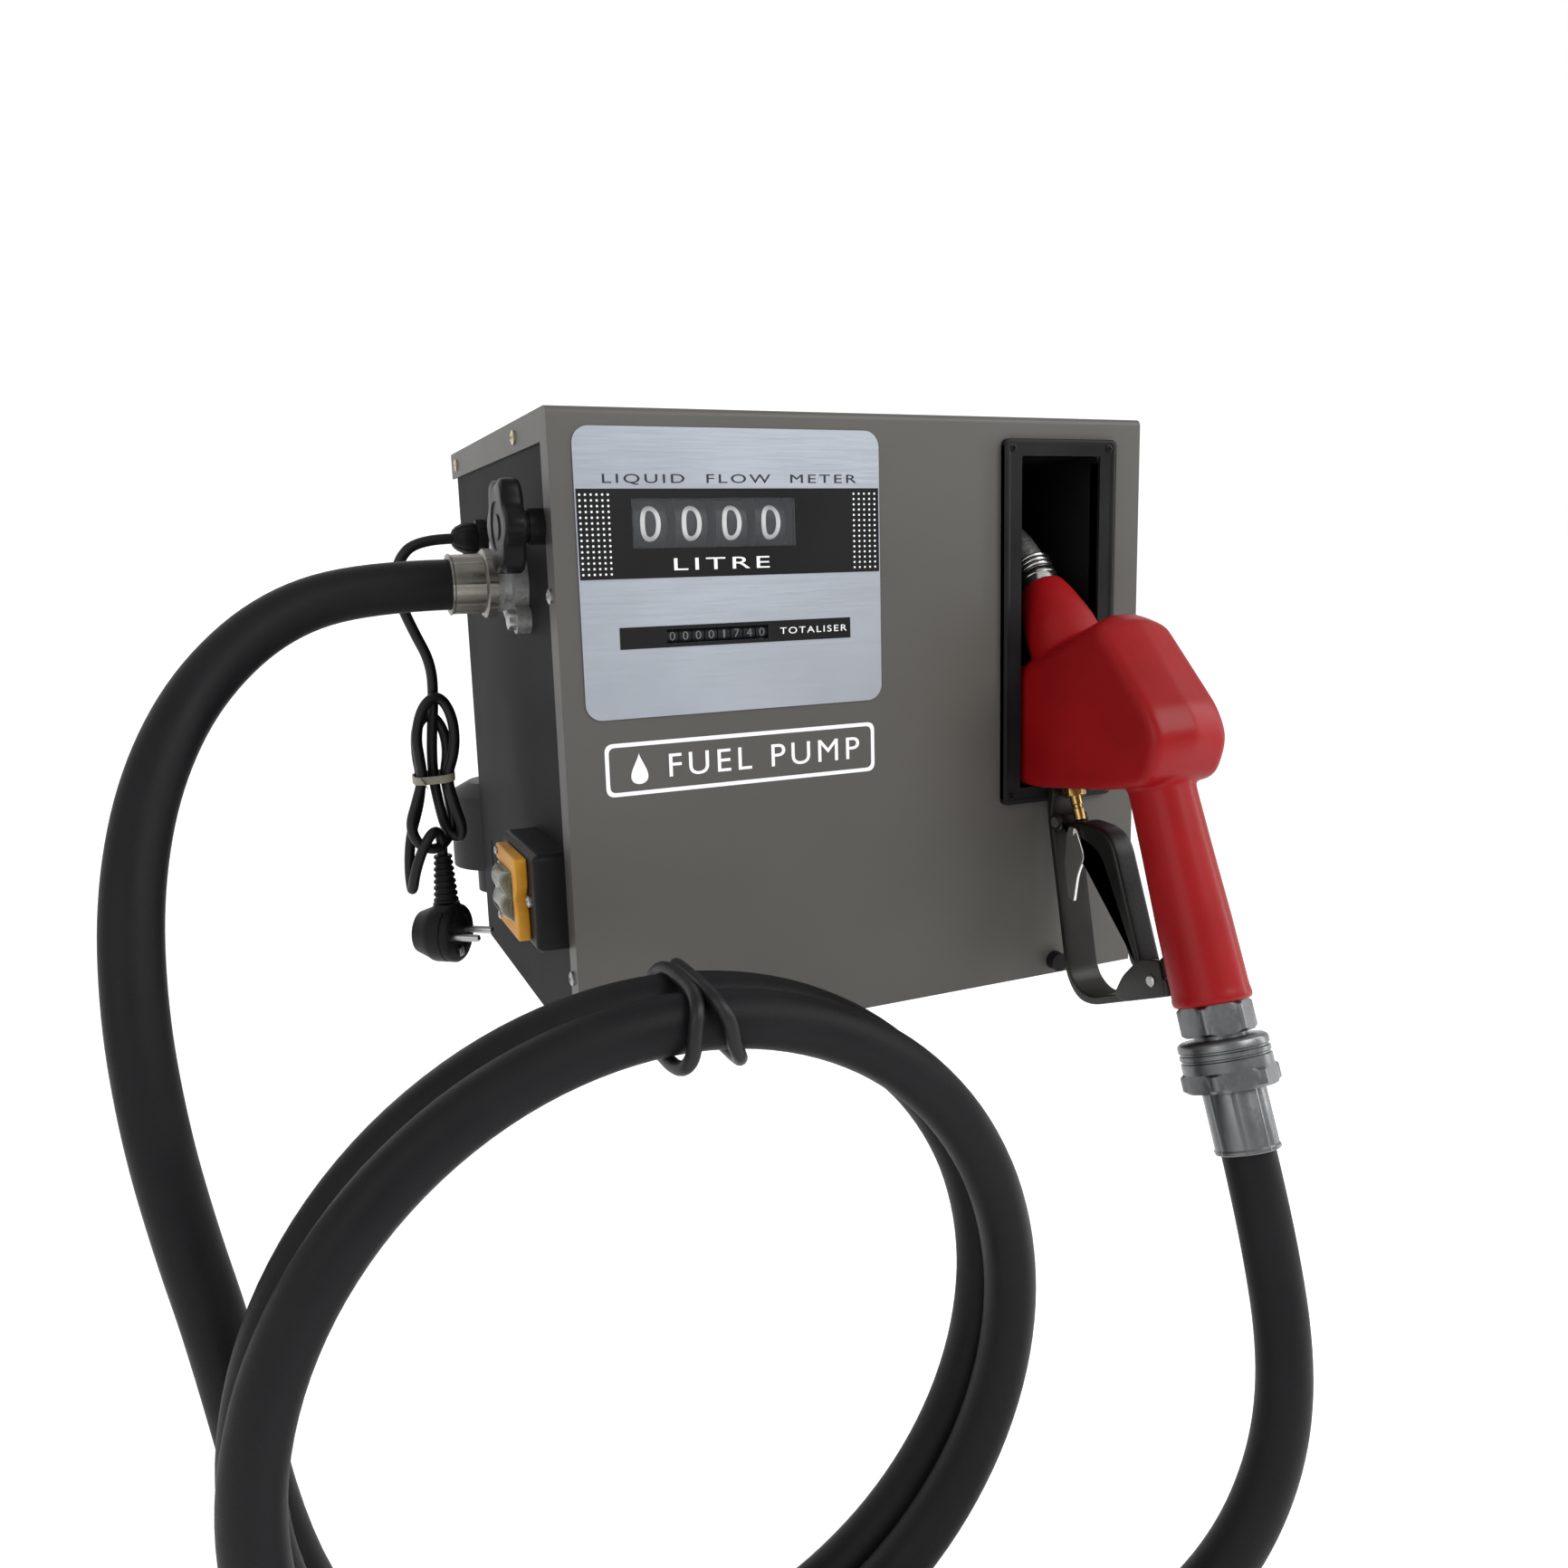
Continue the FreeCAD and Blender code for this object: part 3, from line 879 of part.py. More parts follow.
def nozzle_body():
    """The red vinyl cover and the aluminium casting that fills it."""

    def side_edge(edge):
        return abs(abs(edge.CenterOfMass.x) - size("head_half")) < 0.1

    head = padded_outline("head_block", "YZ", HEAD, "-head_half", "head_half", [("head_round", side_edge)])
    grip = cone("grip_cone", "z", ("0", "0", "-grip_long"), "grip_end_radius", "grip_top_radius",
                "grip_long+belly_low+6")
    hood = along_cone(revolved_outline("cone_hood",
                                       [("0", "0"), ("cone_radius", "0"), ("cone_radius", "cone_shoulder"),
                                                     ("cone_neck", "cone_long-4"), ("cone_neck", "cone_long"),
                                                     ("0", "cone_long")]))
    outside = fuse("nozzle_outside", head, grip, hood)
    core_head = box("core_block", ("-head_half+cover_wall", "head_half-cover_wall"), ("-8", "crown_y-14"),
                    ("chin_z+12", "head_top-cover_wall"))
    core_grip = rod("core_grip", "z", ("0", "0", "-grip_long"), "grip_top_radius-cover_wall",
                    "grip_long+heel_top+10")
    core_neck = along_cone(rod("core_neck", "z", ("0", "cone_y", "cone_z"), "collar_radius-1", "cone_long"))
    core_stem = rod("core_stem", "z", ("0", "stem_y", "chin_z-stem_boss"), "stem_radius+1.5", "30")
    casting = fuse("nozzle_casting_solid", core_head, core_grip, core_neck, core_stem)
    cover = cut("nozzle_cover", outside, casting)
    keep("nozzle_cover", on_nozzle(cover))
    core_copy = [box("core_block_b", ("-head_half+cover_wall", "head_half-cover_wall"), ("-8", "crown_y-14"),
                     ("chin_z+12", "head_top-cover_wall")),
                 rod("core_grip_b", "z", ("0", "0", "-grip_long"), "grip_top_radius-cover_wall",
                     "grip_long+heel_top+10"),
                 along_cone(rod("core_neck_b", "z", ("0", "cone_y", "cone_z"), "collar_radius-1",
                                "cone_long")),
                 rod("core_stem_b", "z", ("0", "stem_y", "chin_z-stem_boss"), "stem_radius+1.5", "30")]
    stem_bore = rod("stem_bore", "z", ("0", "stem_y", "0"), "stem_radius+running_gap", "chin_z+24")
    fuel_bore = rod("fuel_bore", "z", ("0", "0", "-grip_long-1"), "tail_bore", "grip_long+heel_top")
    keep("nozzle_casting",
         on_nozzle(cut("nozzle_casting", fuse("casting_solid", *core_copy), stem_bore, fuel_bore)))


def spout():
    """The bent outlet tube, its collar and the wire rings round it."""
    lean = math.radians(size("grip_lean") + size("cone_lean"))
    front = -size("cabinet_depth") / 2
    grip = math.radians(size("grip_lean"))
    base_y = front - size("grip_out") + size("cone_y") * math.cos(grip) + size("cone_z") * math.sin(grip)
    base_z = size("grip_high") - size("cone_y") * math.sin(grip) + size("cone_z") * math.cos(grip)
    x = size("nozzle_x")

    def step(point, angle, length):
        return point + V(0, math.sin(angle), math.cos(angle)) * length

    neck = step(V(x, base_y, base_z), lean, size("cone_long"))
    collar_end = step(neck, lean, size("collar_long"))
    bend = step(collar_end, lean, size("spout_straight"))
    turned = lean + math.radians(size("spout_turn"))
    middle = step(bend, turned, size("spout_bend"))
    tip = step(middle, turned + math.radians(8), size("spout_tip"))
    outside = tube("spout", [neck, bend, middle, tip], size("spout_radius"))
    heading = V(0, math.sin(lean), math.cos(lean))
    inside = tube("spout_bore", [neck, bend, middle, tip], size("spout_radius") - size("spout_wall"))
    shaped("spout", outside.cut(inside))
    collar = Part.makeCylinder(size("collar_radius"), size("collar_long"), neck, heading)
    rings = [collar.cut(Part.makeCylinder(size("spout_radius"), size("collar_long"), neck, heading))]
    for number in range(int(size("ring_count"))):
        place = step(collar_end, lean, 2 + number * size("ring_pitch"))
        rings.append(Part.makeTorus(size("spout_radius") + size("ring_wire") + 0.1, size("ring_wire"), place,
                                    heading))
    shaped("spout_collar", Part.makeCompound(rings))


def lever_group():
    """The guard, the lever with its pivot pin, the valve stem and the hold-open clip."""
    outer_low = "guard_low+guard_corner"
    guard_outline = [
        ("guard_crown_y-3", "guard_top"), ("guard_crown_y", "guard_top"), ("guard_knee_y", "guard_knee_z"),
        ("guard_y", outer_low), ("guard_y-guard_corner/3", "guard_low+guard_corner/4"),
        ("guard_y-guard_corner", "guard_low"), ("grip_end_radius", "guard_low"),
        ("grip_end_radius", "guard_low+2.5*guard_thick"), ("guard_base", "guard_low+guard_thick+1"),
        ("guard_y-guard_corner-2", "guard_low+guard_thick"),
        ("guard_y-guard_corner/3-guard_thick", "guard_low+guard_corner/4+guard_thick"),
        ("guard_y-guard_thick", outer_low), ("guard_knee_y-guard_thick", "guard_knee_z"),
        ("guard_crown_y-3", "guard_top-9"),
    ]
    blank = padded_outline("guard_blank", "YZ", guard_outline, "-guard_half", "guard_half")
    lug = rod("guard_lug_rod", "x", ("-guard_half", "pivot_y", "pivot_z"), "guard_lug", "2*guard_half")
    web = box("guard_web", ("-guard_half", "guard_half"), ("pivot_y", "guard_knee_y-1"),
              ("pivot_z", "guard_knee_z"))
    lug_room = box("guard_lug_room", ("-lever_half-0.5", "lever_half+0.5"), ("pivot_y-9", "pivot_y+6.2"),
                   ("pivot_z-9", "pivot_z+8"))
    pin_hole = rod("guard_pin_hole", "x", ("-guard_half-1", "pivot_y", "pivot_z"), "pivot_radius",
                   "2*guard_half+2")
    head_clear = padded_outline("guard_head_clear", "YZ", HEAD, "-head_half-1", "head_half+1")
    guard = cut("guard_bored", fuse("guard_solid", blank, lug, web), lug_room, pin_hole, head_clear)
    keep("lever_guard", on_nozzle(guard))
    pin = rod("pin_rod", "x", ("-guard_half", "pivot_y", "pivot_z"), "pivot_radius", "2*guard_half")
    keep("lever_pin", on_nozzle(group("lever_pin", pin)))
    outer_side = "lever_y+lever_thick"
    lever_outline = [
        ("pivot_y+4.5", "pivot_z-2"), ("pivot_y+2", "pivot_z-5"), ("stem_y-2", "lever_seat-9"),
        (f"{outer_side}+5", "lever_top-14"), (outer_side, "lever_low+4"), (f"{outer_side}-3", "lever_low"),
        ("lever_y+2", "lever_low"), ("lever_y", "lever_low+3"), ("lever_y", "lever_top-10"),
        ("lever_y+6", "lever_top"), ("stem_y-8", "lever_seat"), ("stem_y+5", "lever_seat"),
        ("pivot_y-3", "pivot_z+4.5"), ("pivot_y+3", "pivot_z+4"),
    ]
    blade = padded_outline("lever_blade", "YZ", lever_outline, "-lever_half", "lever_half")
    hole = rod("lever_hole", "x", ("-lever_half-1", "pivot_y", "pivot_z"), "pivot_radius+running_gap",
               "2*lever_half+2")
    clip_hole = rod("clip_hole", "x", ("-lever_half-1", "clip_y", "clip_z"), "clip_pin+running_gap",
                    "2*lever_half+2")
    keep("lever", on_nozzle(cut("lever", blade, hole, clip_hole)))
    stem = rod("stem_rod", "z", ("0", "stem_y", "lever_seat+stem_gap"), "stem_radius", "stem_long")
    keep("valve_stem", on_nozzle(group("valve_stem", stem)))
    clip_outline = [
        ("clip_y-clip_eye", "clip_z+2"), ("clip_y+clip_eye", "clip_z+2"),
        ("clip_y+clip_reach-4", "clip_z-18"),
        ("clip_y+clip_reach", "clip_z-clip_long+4"), ("clip_y+clip_reach-5", "clip_z-clip_long"),
        ("clip_y+4", "clip_z-clip_long/1.6"), ("clip_y-clip_eye-2", "clip_z-clip_long/2.4"),
    ]
    side = "-lever_half-soft_gap"
    plate = padded_outline("clip_plate", "YZ", clip_outline, f"{side}-clip_thick", side)
    eye = rod("clip_eye_disc", "x", (f"{side}-clip_thick", "clip_y", "clip_z"), "clip_eye", "clip_thick")
    clip_pin = rod("clip_pin_rod", "x", (f"{side}-clip_thick", "clip_y", "clip_z"), "clip_pin",
                   "2*lever_half+clip_thick+soft_gap")
    keep("hold_open_clip", on_nozzle(fuse("hold_open_clip", plate, eye, clip_pin)))


# ---------------------------------------------------------------- nozzle tail
def nozzle_tail():
    """The hexagon nipple, the swivel and the crimped hose end below the grip."""
    top = "(-grip_long)"
    nipple = hexagon("nipple_bar", "z", ("0", "0", f"{top}-nipple_long"), "nipple_hex", "nipple_long")
    spigot_end = f"({top}-nipple_long-swivel_gap-swivel_long/2)"
    spigot = rod("nipple_spigot", "z", ("0", "0", spigot_end), "14", f"{top}-nipple_long-{spigot_end}+1")
    bore = rod("nipple_bore", "z", ("0", "0", f"{spigot_end}-1"), "tail_bore", "80")
    keep("hex_nipple", on_nozzle(cut("hex_nipple", fuse("nipple_solid", nipple, spigot), bore)))
    swivel_low = f"({top}-nipple_long-swivel_gap-swivel_long)"
    drum = rod("swivel_drum", "z", ("0", "0", f"{swivel_low}+4"), "swivel_radius", "swivel_long-4")
    hexed = hexagon("swivel_hex", "z", ("0", "0", swivel_low), "swivel_radius-1", "swivel_long-10")
    room = rod("swivel_room", "z", ("0", "0", f"{spigot_end}-0.3"), "14+running_gap", "60")
    through = rod("swivel_through", "z", ("0", "0", f"{swivel_low}-1"), "tail_bore", "60")
    keep("swivel_body", on_nozzle(cut("swivel_body", fuse("swivel_solid", drum, hexed), room, through)))
    sleeve = rod("tail_sleeve", "z", ("0", "0", f"{swivel_low}-tail_long"), "tail_radius", "tail_long")
    tail_hole = rod("tail_hole", "z", ("0", "0", f"{swivel_low}-tail_long-1"), "tail_bore", "tail_long+2")
    keep("hose_ferrule", on_nozzle(cut("hose_ferrule", sleeve, tail_hole)))


# ---------------------------------------------------------------- hose
# The lead leaves the outlet to the left, swings forward and drops into the coil. The riser leaves
# the coil's bottom, sweeps to the right and climbs to the nozzle's tail.
HOSE_LEAD = [
    (-320, -55, 248), (-359, -76, 216), (-384, -103, 175), (-397, -131, 127),
    (-400, -154, 74), (-396, -170, 20), (-388, -178, -32), (-377, -190, -82), (-370, -212, -130),
]
HOSE_RISER = [
    (125, -345, -151), (115, -350, -203), (91, -347, -252), (52, -336, -292), (3, -321, -317),
    (-51, -305, -329), (-104, -289, -332), (-156, -270, -329),
]


def hose():
    """The delivery hose: two bent runs and the coil between them."""
    front = -size("cabinet_depth") / 2
    radius = size("hose_diameter") / 2
    start = V(-size("cabinet_width") / 2 - size("ferrule_out"), front + size("port_depth"), size("port_high"))
    coil_back = size("coil_back_y") + radius
    coil_front = coil_back - size("coil_turns") * size("hose_diameter")
    straight_out = start - V(size("hose_straight"), 0, 0)
    lead = tube("hose_lead", [start, straight_out] + [V(*p) for p in HOSE_LEAD], radius)
    behind_coil = Part.makeBox(600, 400, 900, V(-600, coil_back, -500))
    shaped("hose_lead", lead.common(behind_coil))
    centre = V(size("coil_x"), coil_front, size("coil_z"))
    wide = coil_back - coil_front
    ring = Part.makeCylinder(size("coil_radius") + radius, wide, centre, V(0, 1, 0))
    hole = Part.makeCylinder(size("coil_radius") - radius, wide, centre, V(0, 1, 0))
    shaped("hose_coil", ring.cut(hole))
    lean = math.radians(size("grip_lean"))
    down = V(0, -math.sin(lean), -math.cos(lean))
    grip = V(size("nozzle_x"), front - size("grip_out"), size("grip_high"))
    tail = sum(size(word) for word in ("grip_long", "nipple_long", "swivel_gap", "swivel_long", "tail_long"))
    first = grip + down * tail
    second = first + down * size("hose_straight")
    riser = tube("hose_riser", [first, second] + [V(*p) for p in HOSE_RISER], radius)
    before_coil = Part.makeBox(900, 400, 900, V(-600, coil_front - size("soft_gap") - 400, -600))
    shaped("hose_riser", riser.common(before_coil))
    gap, thick = size("soft_gap"), size("tie_thick")
    x = size("tie_x")
    arch = math.sqrt(size("coil_radius") ** 2 - (x - size("coil_x")) ** 2)
    low, high = size("coil_z") + arch - radius - gap - 1, size("coil_z") + arch + radius + gap + 1
    outer = Part.makeBox(size("tie_wide"), wide + 2 * (gap + thick), high - low + 2 * thick,
                         V(x - size("tie_wide") / 2, coil_front - gap - thick, low - thick))
    inner = Part.makeBox(size("tie_wide"), wide + 2 * gap, high - low,
                         V(x - size("tie_wide") / 2, coil_front - gap, low))
    shaped("hose_tie", outer.cut(inner))


# ---------------------------------------------------------------- mains lead
# The lead leaves the gland to the left, turns down and hangs to its tied hank.
LEAD = [(-229, 49.5, 289), (-243, 49.5, 275), (-244, 49.3, 254), (-236, 49, 232), (-226, 49, 210)]
HANK = [(190, -226, 5, 5), (178, -228, 12, 9), (158, -228, 16, 11), (136, -230, 11.5, 8), (112, -232, 16, 11),
        (97, -231, 14, 10)]
HANK_TAIL = [(112, -243, 4.5, 4.5), (84, -247.5, 4.8, 4.8), (58, -249, 4, 4)]


def mains_lead():
    """The lead from the gland, its tied hank and the angled plug that hangs below."""
    front = -size("cabinet_depth") / 2
    side = -size("cabinet_width") / 2 + size("sheet_gauge")
    start_x = side - size("gland_hex_long") - size("gland_nut_long")
    start = V(start_x, front + size("gland_depth"), size("gland_high"))
    top_z, top_x = HANK[0][0], HANK[0][1]
    end = V(top_x, size("hank_y"), top_z)
    shaped("mains_lead",
           tube("mains_lead", [start] + [V(*p) for p in LEAD] + [end], size("cord_diameter") / 2))

    def oval(z, x, half_wide, half_deep):
        return Part.Wire(Part.Ellipse(V(x, size("hank_y"), z), half_wide + 0.001, half_deep).toShape())

    relief_top = size("plug_high") + size("plug_radius") + size("relief_foot") + size("relief_long")
    bottom = (relief_top, size("plug_x"), 9, 8)
    bundle = Part.makeLoft([oval(*row) for row in HANK + [bottom]], True, False)
    tail = Part.makeLoft([oval(*row) for row in HANK_TAIL], True, False)
    shaped("mains_hank", bundle.fuse(tail).removeSplitter())
    z, x, half_wide, half_deep = HANK[3]
    low, high = z - size("cord_tie_high") / 2, size("cord_tie_high")
    gap, thick = size("soft_gap") + 0.3, size("cord_tie_thick")
    outer = Part.Face(oval(low, x, half_wide + gap + thick, half_deep + gap + thick))
    inner = Part.Face(oval(low, x, half_wide + gap, half_deep + gap))
    shaped("hank_tie", outer.cut(inner).extrude(V(0, 0, high)))


def plug():
    """An angled two-pin plug with its strain relief on top."""
    turn = FreeCAD.Rotation(V(0, 0, 1), size("plug_turn"))
    place = FreeCAD.Placement(V(size("plug_x"), size("hank_y"), size("plug_high")), turn)
    face, radius = size("plug_thick") / 2, size("plug_radius")
    disc = Part.makeCylinder(radius, size("plug_thick"), V(-face, 0, 0), V(1, 0, 0))
    back = Part.makeCone(radius - 5, radius, size("plug_back"), V(-face - size("plug_back"), 0, 0),
                         V(1, 0, 0))
    top = radius + size("relief_foot")
    shoulder = Part.makeCylinder(size("relief_end") + 1.5, top, V(0, 0, 0), V(0, 0, 1))
    relief = Part.makeCone(size("relief_end"), size("relief_top"), size("relief_long"), V(0, 0, top),
                           V(0, 0, 1))
    body = disc.fuse([back, shoulder, relief]).removeSplitter()
    pins = [Part.makeCylinder(size("pin_radius"), size("pin_long"), V(face, side * size("pin_pitch") / 2, 0),
                              V(1, 0, 0))
            for side in (-1, 1)]
    item = shaped("plug", Part.makeCompound([body] + pins))
    item.Placement = place


front_cover()
chassis()
back_panel()
screws, screw_holes = side_screws()
meter_plate()
frames, axles = zip(counter(), totaliser())
keep("counter_frames", group("counter_frames", *frames))
keep("counter_axles", group("counter_axles", *axles))
reset_knob()
meter()
outlet()
pump()
motor()
strainer()
pipes()
keep("small_screws", group("small_screws", *screws, *switch()))
gland()
holster()
nozzle_body()
spout()
lever_group()
nozzle_tail()
hose()
mains_lead()
plug()
bore_out("front_cover", screw_holes + [boss_clearance()])
bore_out("chassis", [copy_of(hole) for hole in screw_holes])
doc.recompute()


# ---------------------------------------------------------------- checks and export
def problems():
    """Everything that failed to build, in words."""
    found = []
    for item in doc.Objects:
        if any(word in item.State for word in ("Invalid", "Error")):
            found.append(f"{item.Label}: {item.State}")
    for label, item in NODES.items():
        shape = item.Shape
        if shape.isNull() or not shape.isValid() or not shape.Solids:
            found.append(f"{label}: no valid shape")
    return found


faults = problems()
if faults:
    raise SystemExit("not written: " + "; ".join(faults))
os.makedirs("parts", exist_ok=True)
for label, item in sorted(NODES.items()):
    item.Shape.exportStep(f"parts/{label}.step")
print(f"{len(NODES)} nodes, {sum(len(item.Shape.Solids) for item in NODES.values())} solids")
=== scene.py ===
# %% [markdown]
# # A cabinet fuel dispenser
# A sheet-metal cabinet holds a pump, a motor and a litre counter. A thick black hose leaves its left
# side, lies in a coil and ends in a red lever nozzle that hangs in a holster. The engineering model
# gives every size and every moving body. This lesson adds the surfaces that a person sees.

# %% Load the frame
import math

import bmesh
import bpy
import numpy as np
from mathutils import Matrix, Vector


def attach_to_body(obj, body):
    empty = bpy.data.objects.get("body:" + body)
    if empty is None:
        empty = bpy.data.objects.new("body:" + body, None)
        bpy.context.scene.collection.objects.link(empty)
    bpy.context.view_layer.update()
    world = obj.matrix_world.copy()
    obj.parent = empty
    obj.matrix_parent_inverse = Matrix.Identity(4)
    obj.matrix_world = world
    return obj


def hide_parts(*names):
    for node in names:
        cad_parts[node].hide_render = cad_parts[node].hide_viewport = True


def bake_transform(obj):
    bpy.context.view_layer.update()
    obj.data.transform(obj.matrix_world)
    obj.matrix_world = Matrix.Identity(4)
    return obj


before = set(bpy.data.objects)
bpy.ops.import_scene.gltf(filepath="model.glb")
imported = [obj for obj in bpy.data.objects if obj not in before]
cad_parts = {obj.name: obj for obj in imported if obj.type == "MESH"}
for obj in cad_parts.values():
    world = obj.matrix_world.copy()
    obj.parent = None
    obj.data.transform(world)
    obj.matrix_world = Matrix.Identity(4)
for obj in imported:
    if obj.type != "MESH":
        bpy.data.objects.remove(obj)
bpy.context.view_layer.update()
MM = 0.001
TURN = 2 * math.pi

# %% [markdown]
# ## The camera
# It stands a little to the left of the counter and slightly above it, with a fairly wide lens, so
# that the left side, the front and the nozzle show together. Its axes are built from three angles:
# where it stands round the object, how high it looks from, and a small roll.

# %% Camera
AZIMUTH = math.radians(-23.71)
ELEVATION = math.radians(9.98)
ROLL = math.radians(-1.56)
STANDS_AT = (-0.34203, -0.77410, 0.26863)
SENSOR = 36
LENS = 28.3693303
SHIFT = (0.000923788, -0.002886836)

back = Vector((math.sin(AZIMUTH) * math.cos(ELEVATION), -math.cos(AZIMUTH) * math.cos(ELEVATION),
        math.sin(ELEVATION)))
level = Vector((math.cos(AZIMUTH), math.sin(AZIMUTH), 0))
upright = back.cross(level)
right = level * math.cos(ROLL) + upright * math.sin(ROLL)
up = upright * math.cos(ROLL) - level * math.sin(ROLL)
camera_data = bpy.data.cameras.new("camera")
camera = bpy.data.objects.new("camera", camera_data)
bpy.context.scene.collection.objects.link(camera)
camera.matrix_world = Matrix((
    (right.x, up.x, back.x, STANDS_AT[0]),
    (right.y, up.y, back.y, STANDS_AT[1]),
    (right.z, up.z, back.z, STANDS_AT[2]),
    (0, 0, 0, 1),
))
camera_data.sensor_width = SENSOR
camera_data.lens = LENS
camera_data.shift_x, camera_data.shift_y = SHIFT
camera_data.clip_start = 0.02
bpy.context.scene.camera = camera
print("lens", round(camera_data.lens, 2), "mm")

# %% [markdown]
# ## Helpers for surfaces
# Every new piece is a table of points worked out with arrays. `grid_piece` joins neighbouring points
# with faces, closes the ends, merges doubles and turns the faces outwards. Sizes are in millimetres
# until the mesh is made, because the real parts are drawn in millimetres.


# %% Make a mesh from a table of points
def finish_mesh(name, points, faces, smooth=35):
    """A mesh from points in millimetres, its faces turned outwards and its soft edges shaded smooth."""
    mesh = bpy.data.meshes.new(name)
    mesh.from_pydata(np.asarray(points, float).reshape(-1, 3) * MM, [], faces)
    shell = bmesh.new()
    shell.from_mesh(mesh)
    bmesh.ops.remove_doubles(shell, verts=shell.verts, dist=0.00001)
    bmesh.ops.recalc_face_normals(shell, faces=shell.faces)
    limit = math.radians(smooth)
    for edge in shell.edges:
        edge.smooth = len(edge.link_faces) != 2 or edge.calc_face_angle(0) < limit
    for face in shell.faces:
        face.smooth = True
    shell.to_mesh(mesh)
    shell.free()
    piece = bpy.data.objects.new(name, mesh)
    bpy.context.scene.collection.objects.link(piece)
    return piece


def quads(rows, columns, wrap_rows, wrap_columns):
    """The four corners of each face in a table of rows by columns."""
    down = np.arange(rows if wrap_rows else rows - 1)
    across = np.arange(columns if wrap_columns else columns - 1)
    row, column = np.meshgrid(down, across, indexing="ij")
    next_row, next_column = (row + 1) % rows, (column + 1) % columns
    corners = (row * columns + column, next_row * columns + column, next_row * columns + next_column,
        row * columns + next_column)
    return np.stack([c.ravel() for c in corners], 1).tolist()


def grid_piece(name, table, wrap_rows=False, wrap_columns=True, capped=True, smooth=35):
    """A piece from a rows x columns x 3 table; capped closes the first and last row with one face each."""
    rows, columns = table.shape[:2]
    faces = quads(rows, columns, wrap_rows, wrap_columns)
    if capped and not wrap_rows:
        faces.append(list(range(columns)))
        faces.append(list(range((rows - 1) * columns, rows * columns)))
    return finish_mesh(name, table, faces, smooth)


def joined(name, pieces):
    """Several pieces made into one, under one name."""
    shell = bmesh.new()
    for piece in pieces:
        shell.from_mesh(piece.data)
        mesh = piece.data
        bpy.data.objects.remove(piece)
        bpy.data.meshes.remove(mesh)
    mesh = bpy.data.meshes.new(name)
    shell.to_mesh(mesh)
    shell.free()
    whole = bpy.data.objects.new(name, mesh)
    bpy.context.scene.collection.objects.link(whole)
    return whole


# %% Profiles, turned shapes and swept shapes
def here(points):
    """The plain placement: points are already in the object's own frame."""
    return points


def unit(vectors):
    """Vectors scaled to length one."""
    return vectors / np.linalg.norm(vectors, axis=-1, keepdims=True)


def rounded(outline, cut, steps=6):
    """A closed outline whose corners become short curves that start and end `cut` from the corner.

    Each curve is a quadratic blend: (1-t)^2 start + 2t(1-t) corner + t^2 end.
    """
    corners = np.asarray(outline, float)
    cut = np.broadcast_to(np.asarray(cut, float), (len(corners),))[:, None]
    before = np.roll(corners, 1, 0) - corners
    after = np.roll(corners, -1, 0) - corners
    reach_before = np.minimum(cut, np.linalg.norm(before, axis=1, keepdims=True) * 0.48)
    reach_after = np.minimum(cut, np.linalg.norm(after, axis=1, keepdims=True) * 0.48)
    start = (corners + unit(before) * reach_before)[:, None]
    end = (corners + unit(after) * reach_after)[:, None]
    t = np.linspace(0, 1, steps)[None, :, None]
    curve = (1 - t) ** 2 * start + 2 * t * (1 - t) * corners[:, None] + t ** 2 * end
    return curve.reshape(-1, 2)


def axes_for(axis):
    """Two directions square to an axis."""
    axis = unit(np.asarray(axis, float))
    helper = np.array([0, 0, 1.0]) if abs(axis[2]) < 0.9 else np.array([0, 1.0, 0])
    first = unit(np.cross(helper, axis))
    return axis, first, np.cross(axis, first)


def turned(name, outline, centre, axis, around=64, shape=None, ring=False, place=here):
    """An outline of (radius, height) pairs carried round an axis.

    point = centre + axis*height + radius*shape(angle, height) * (cos angle, sin angle).
    A ring's outline is closed on itself, for a piece with a hole through it.
    """
    outline = np.asarray(outline, float)
    angle = np.linspace(0, TURN, around, endpoint=False)
    axis, first, second = axes_for(axis)
    radius = np.repeat(outline[:, :1], around, 1)
    height = np.repeat(outline[:, 1:], around, 1)
    if shape is not None:
        radius = shape(radius, height, angle[None, :])
    spokes = np.cos(angle)[:, None] * first + np.sin(angle)[:, None] * second
    table = np.asarray(centre, float) + height[..., None] * axis + radius[..., None] * spokes
    return grid_piece(name, place(table), wrap_rows=ring)


def hexagonal(across_flats):
    """A shape for `turned`: the radius never passes the flats of a hexagon."""
    def shape(radius, height, angle):
        flat = across_flats / 2 / np.cos((angle + TURN / 12) % (TURN / 6) - TURN / 12)
        return np.minimum(radius, flat)
    return shape


def swept(name, path, section, reference=(0, 1, 0), closed=False):
    """A closed section carried along a path; its first direction is square to path and reference."""
    path = np.asarray(path, float)
    ahead = np.roll(path, -1, 0) - np.roll(path, 1, 0)
    if not closed:
        ahead[0], ahead[-1] = path[1] - path[0], path[-1] - path[-2]
    ahead = unit(ahead)
    side = unit(np.cross(ahead, np.asarray(reference, float)))
    lift = np.cross(side, ahead)
    section = np.asarray(section, float)[None]
    table = path[:, None] + section[..., :1] * side[:, None] + section[..., 1:] * lift[:, None]
    return grid_piece(name, table, wrap_rows=closed, smooth=50)


def circle(radius, count=24):
    """Points round a circle."""
    angle = np.linspace(0, TURN, count, endpoint=False)
    return np.stack([np.cos(angle), np.sin(angle)], 1) * radius


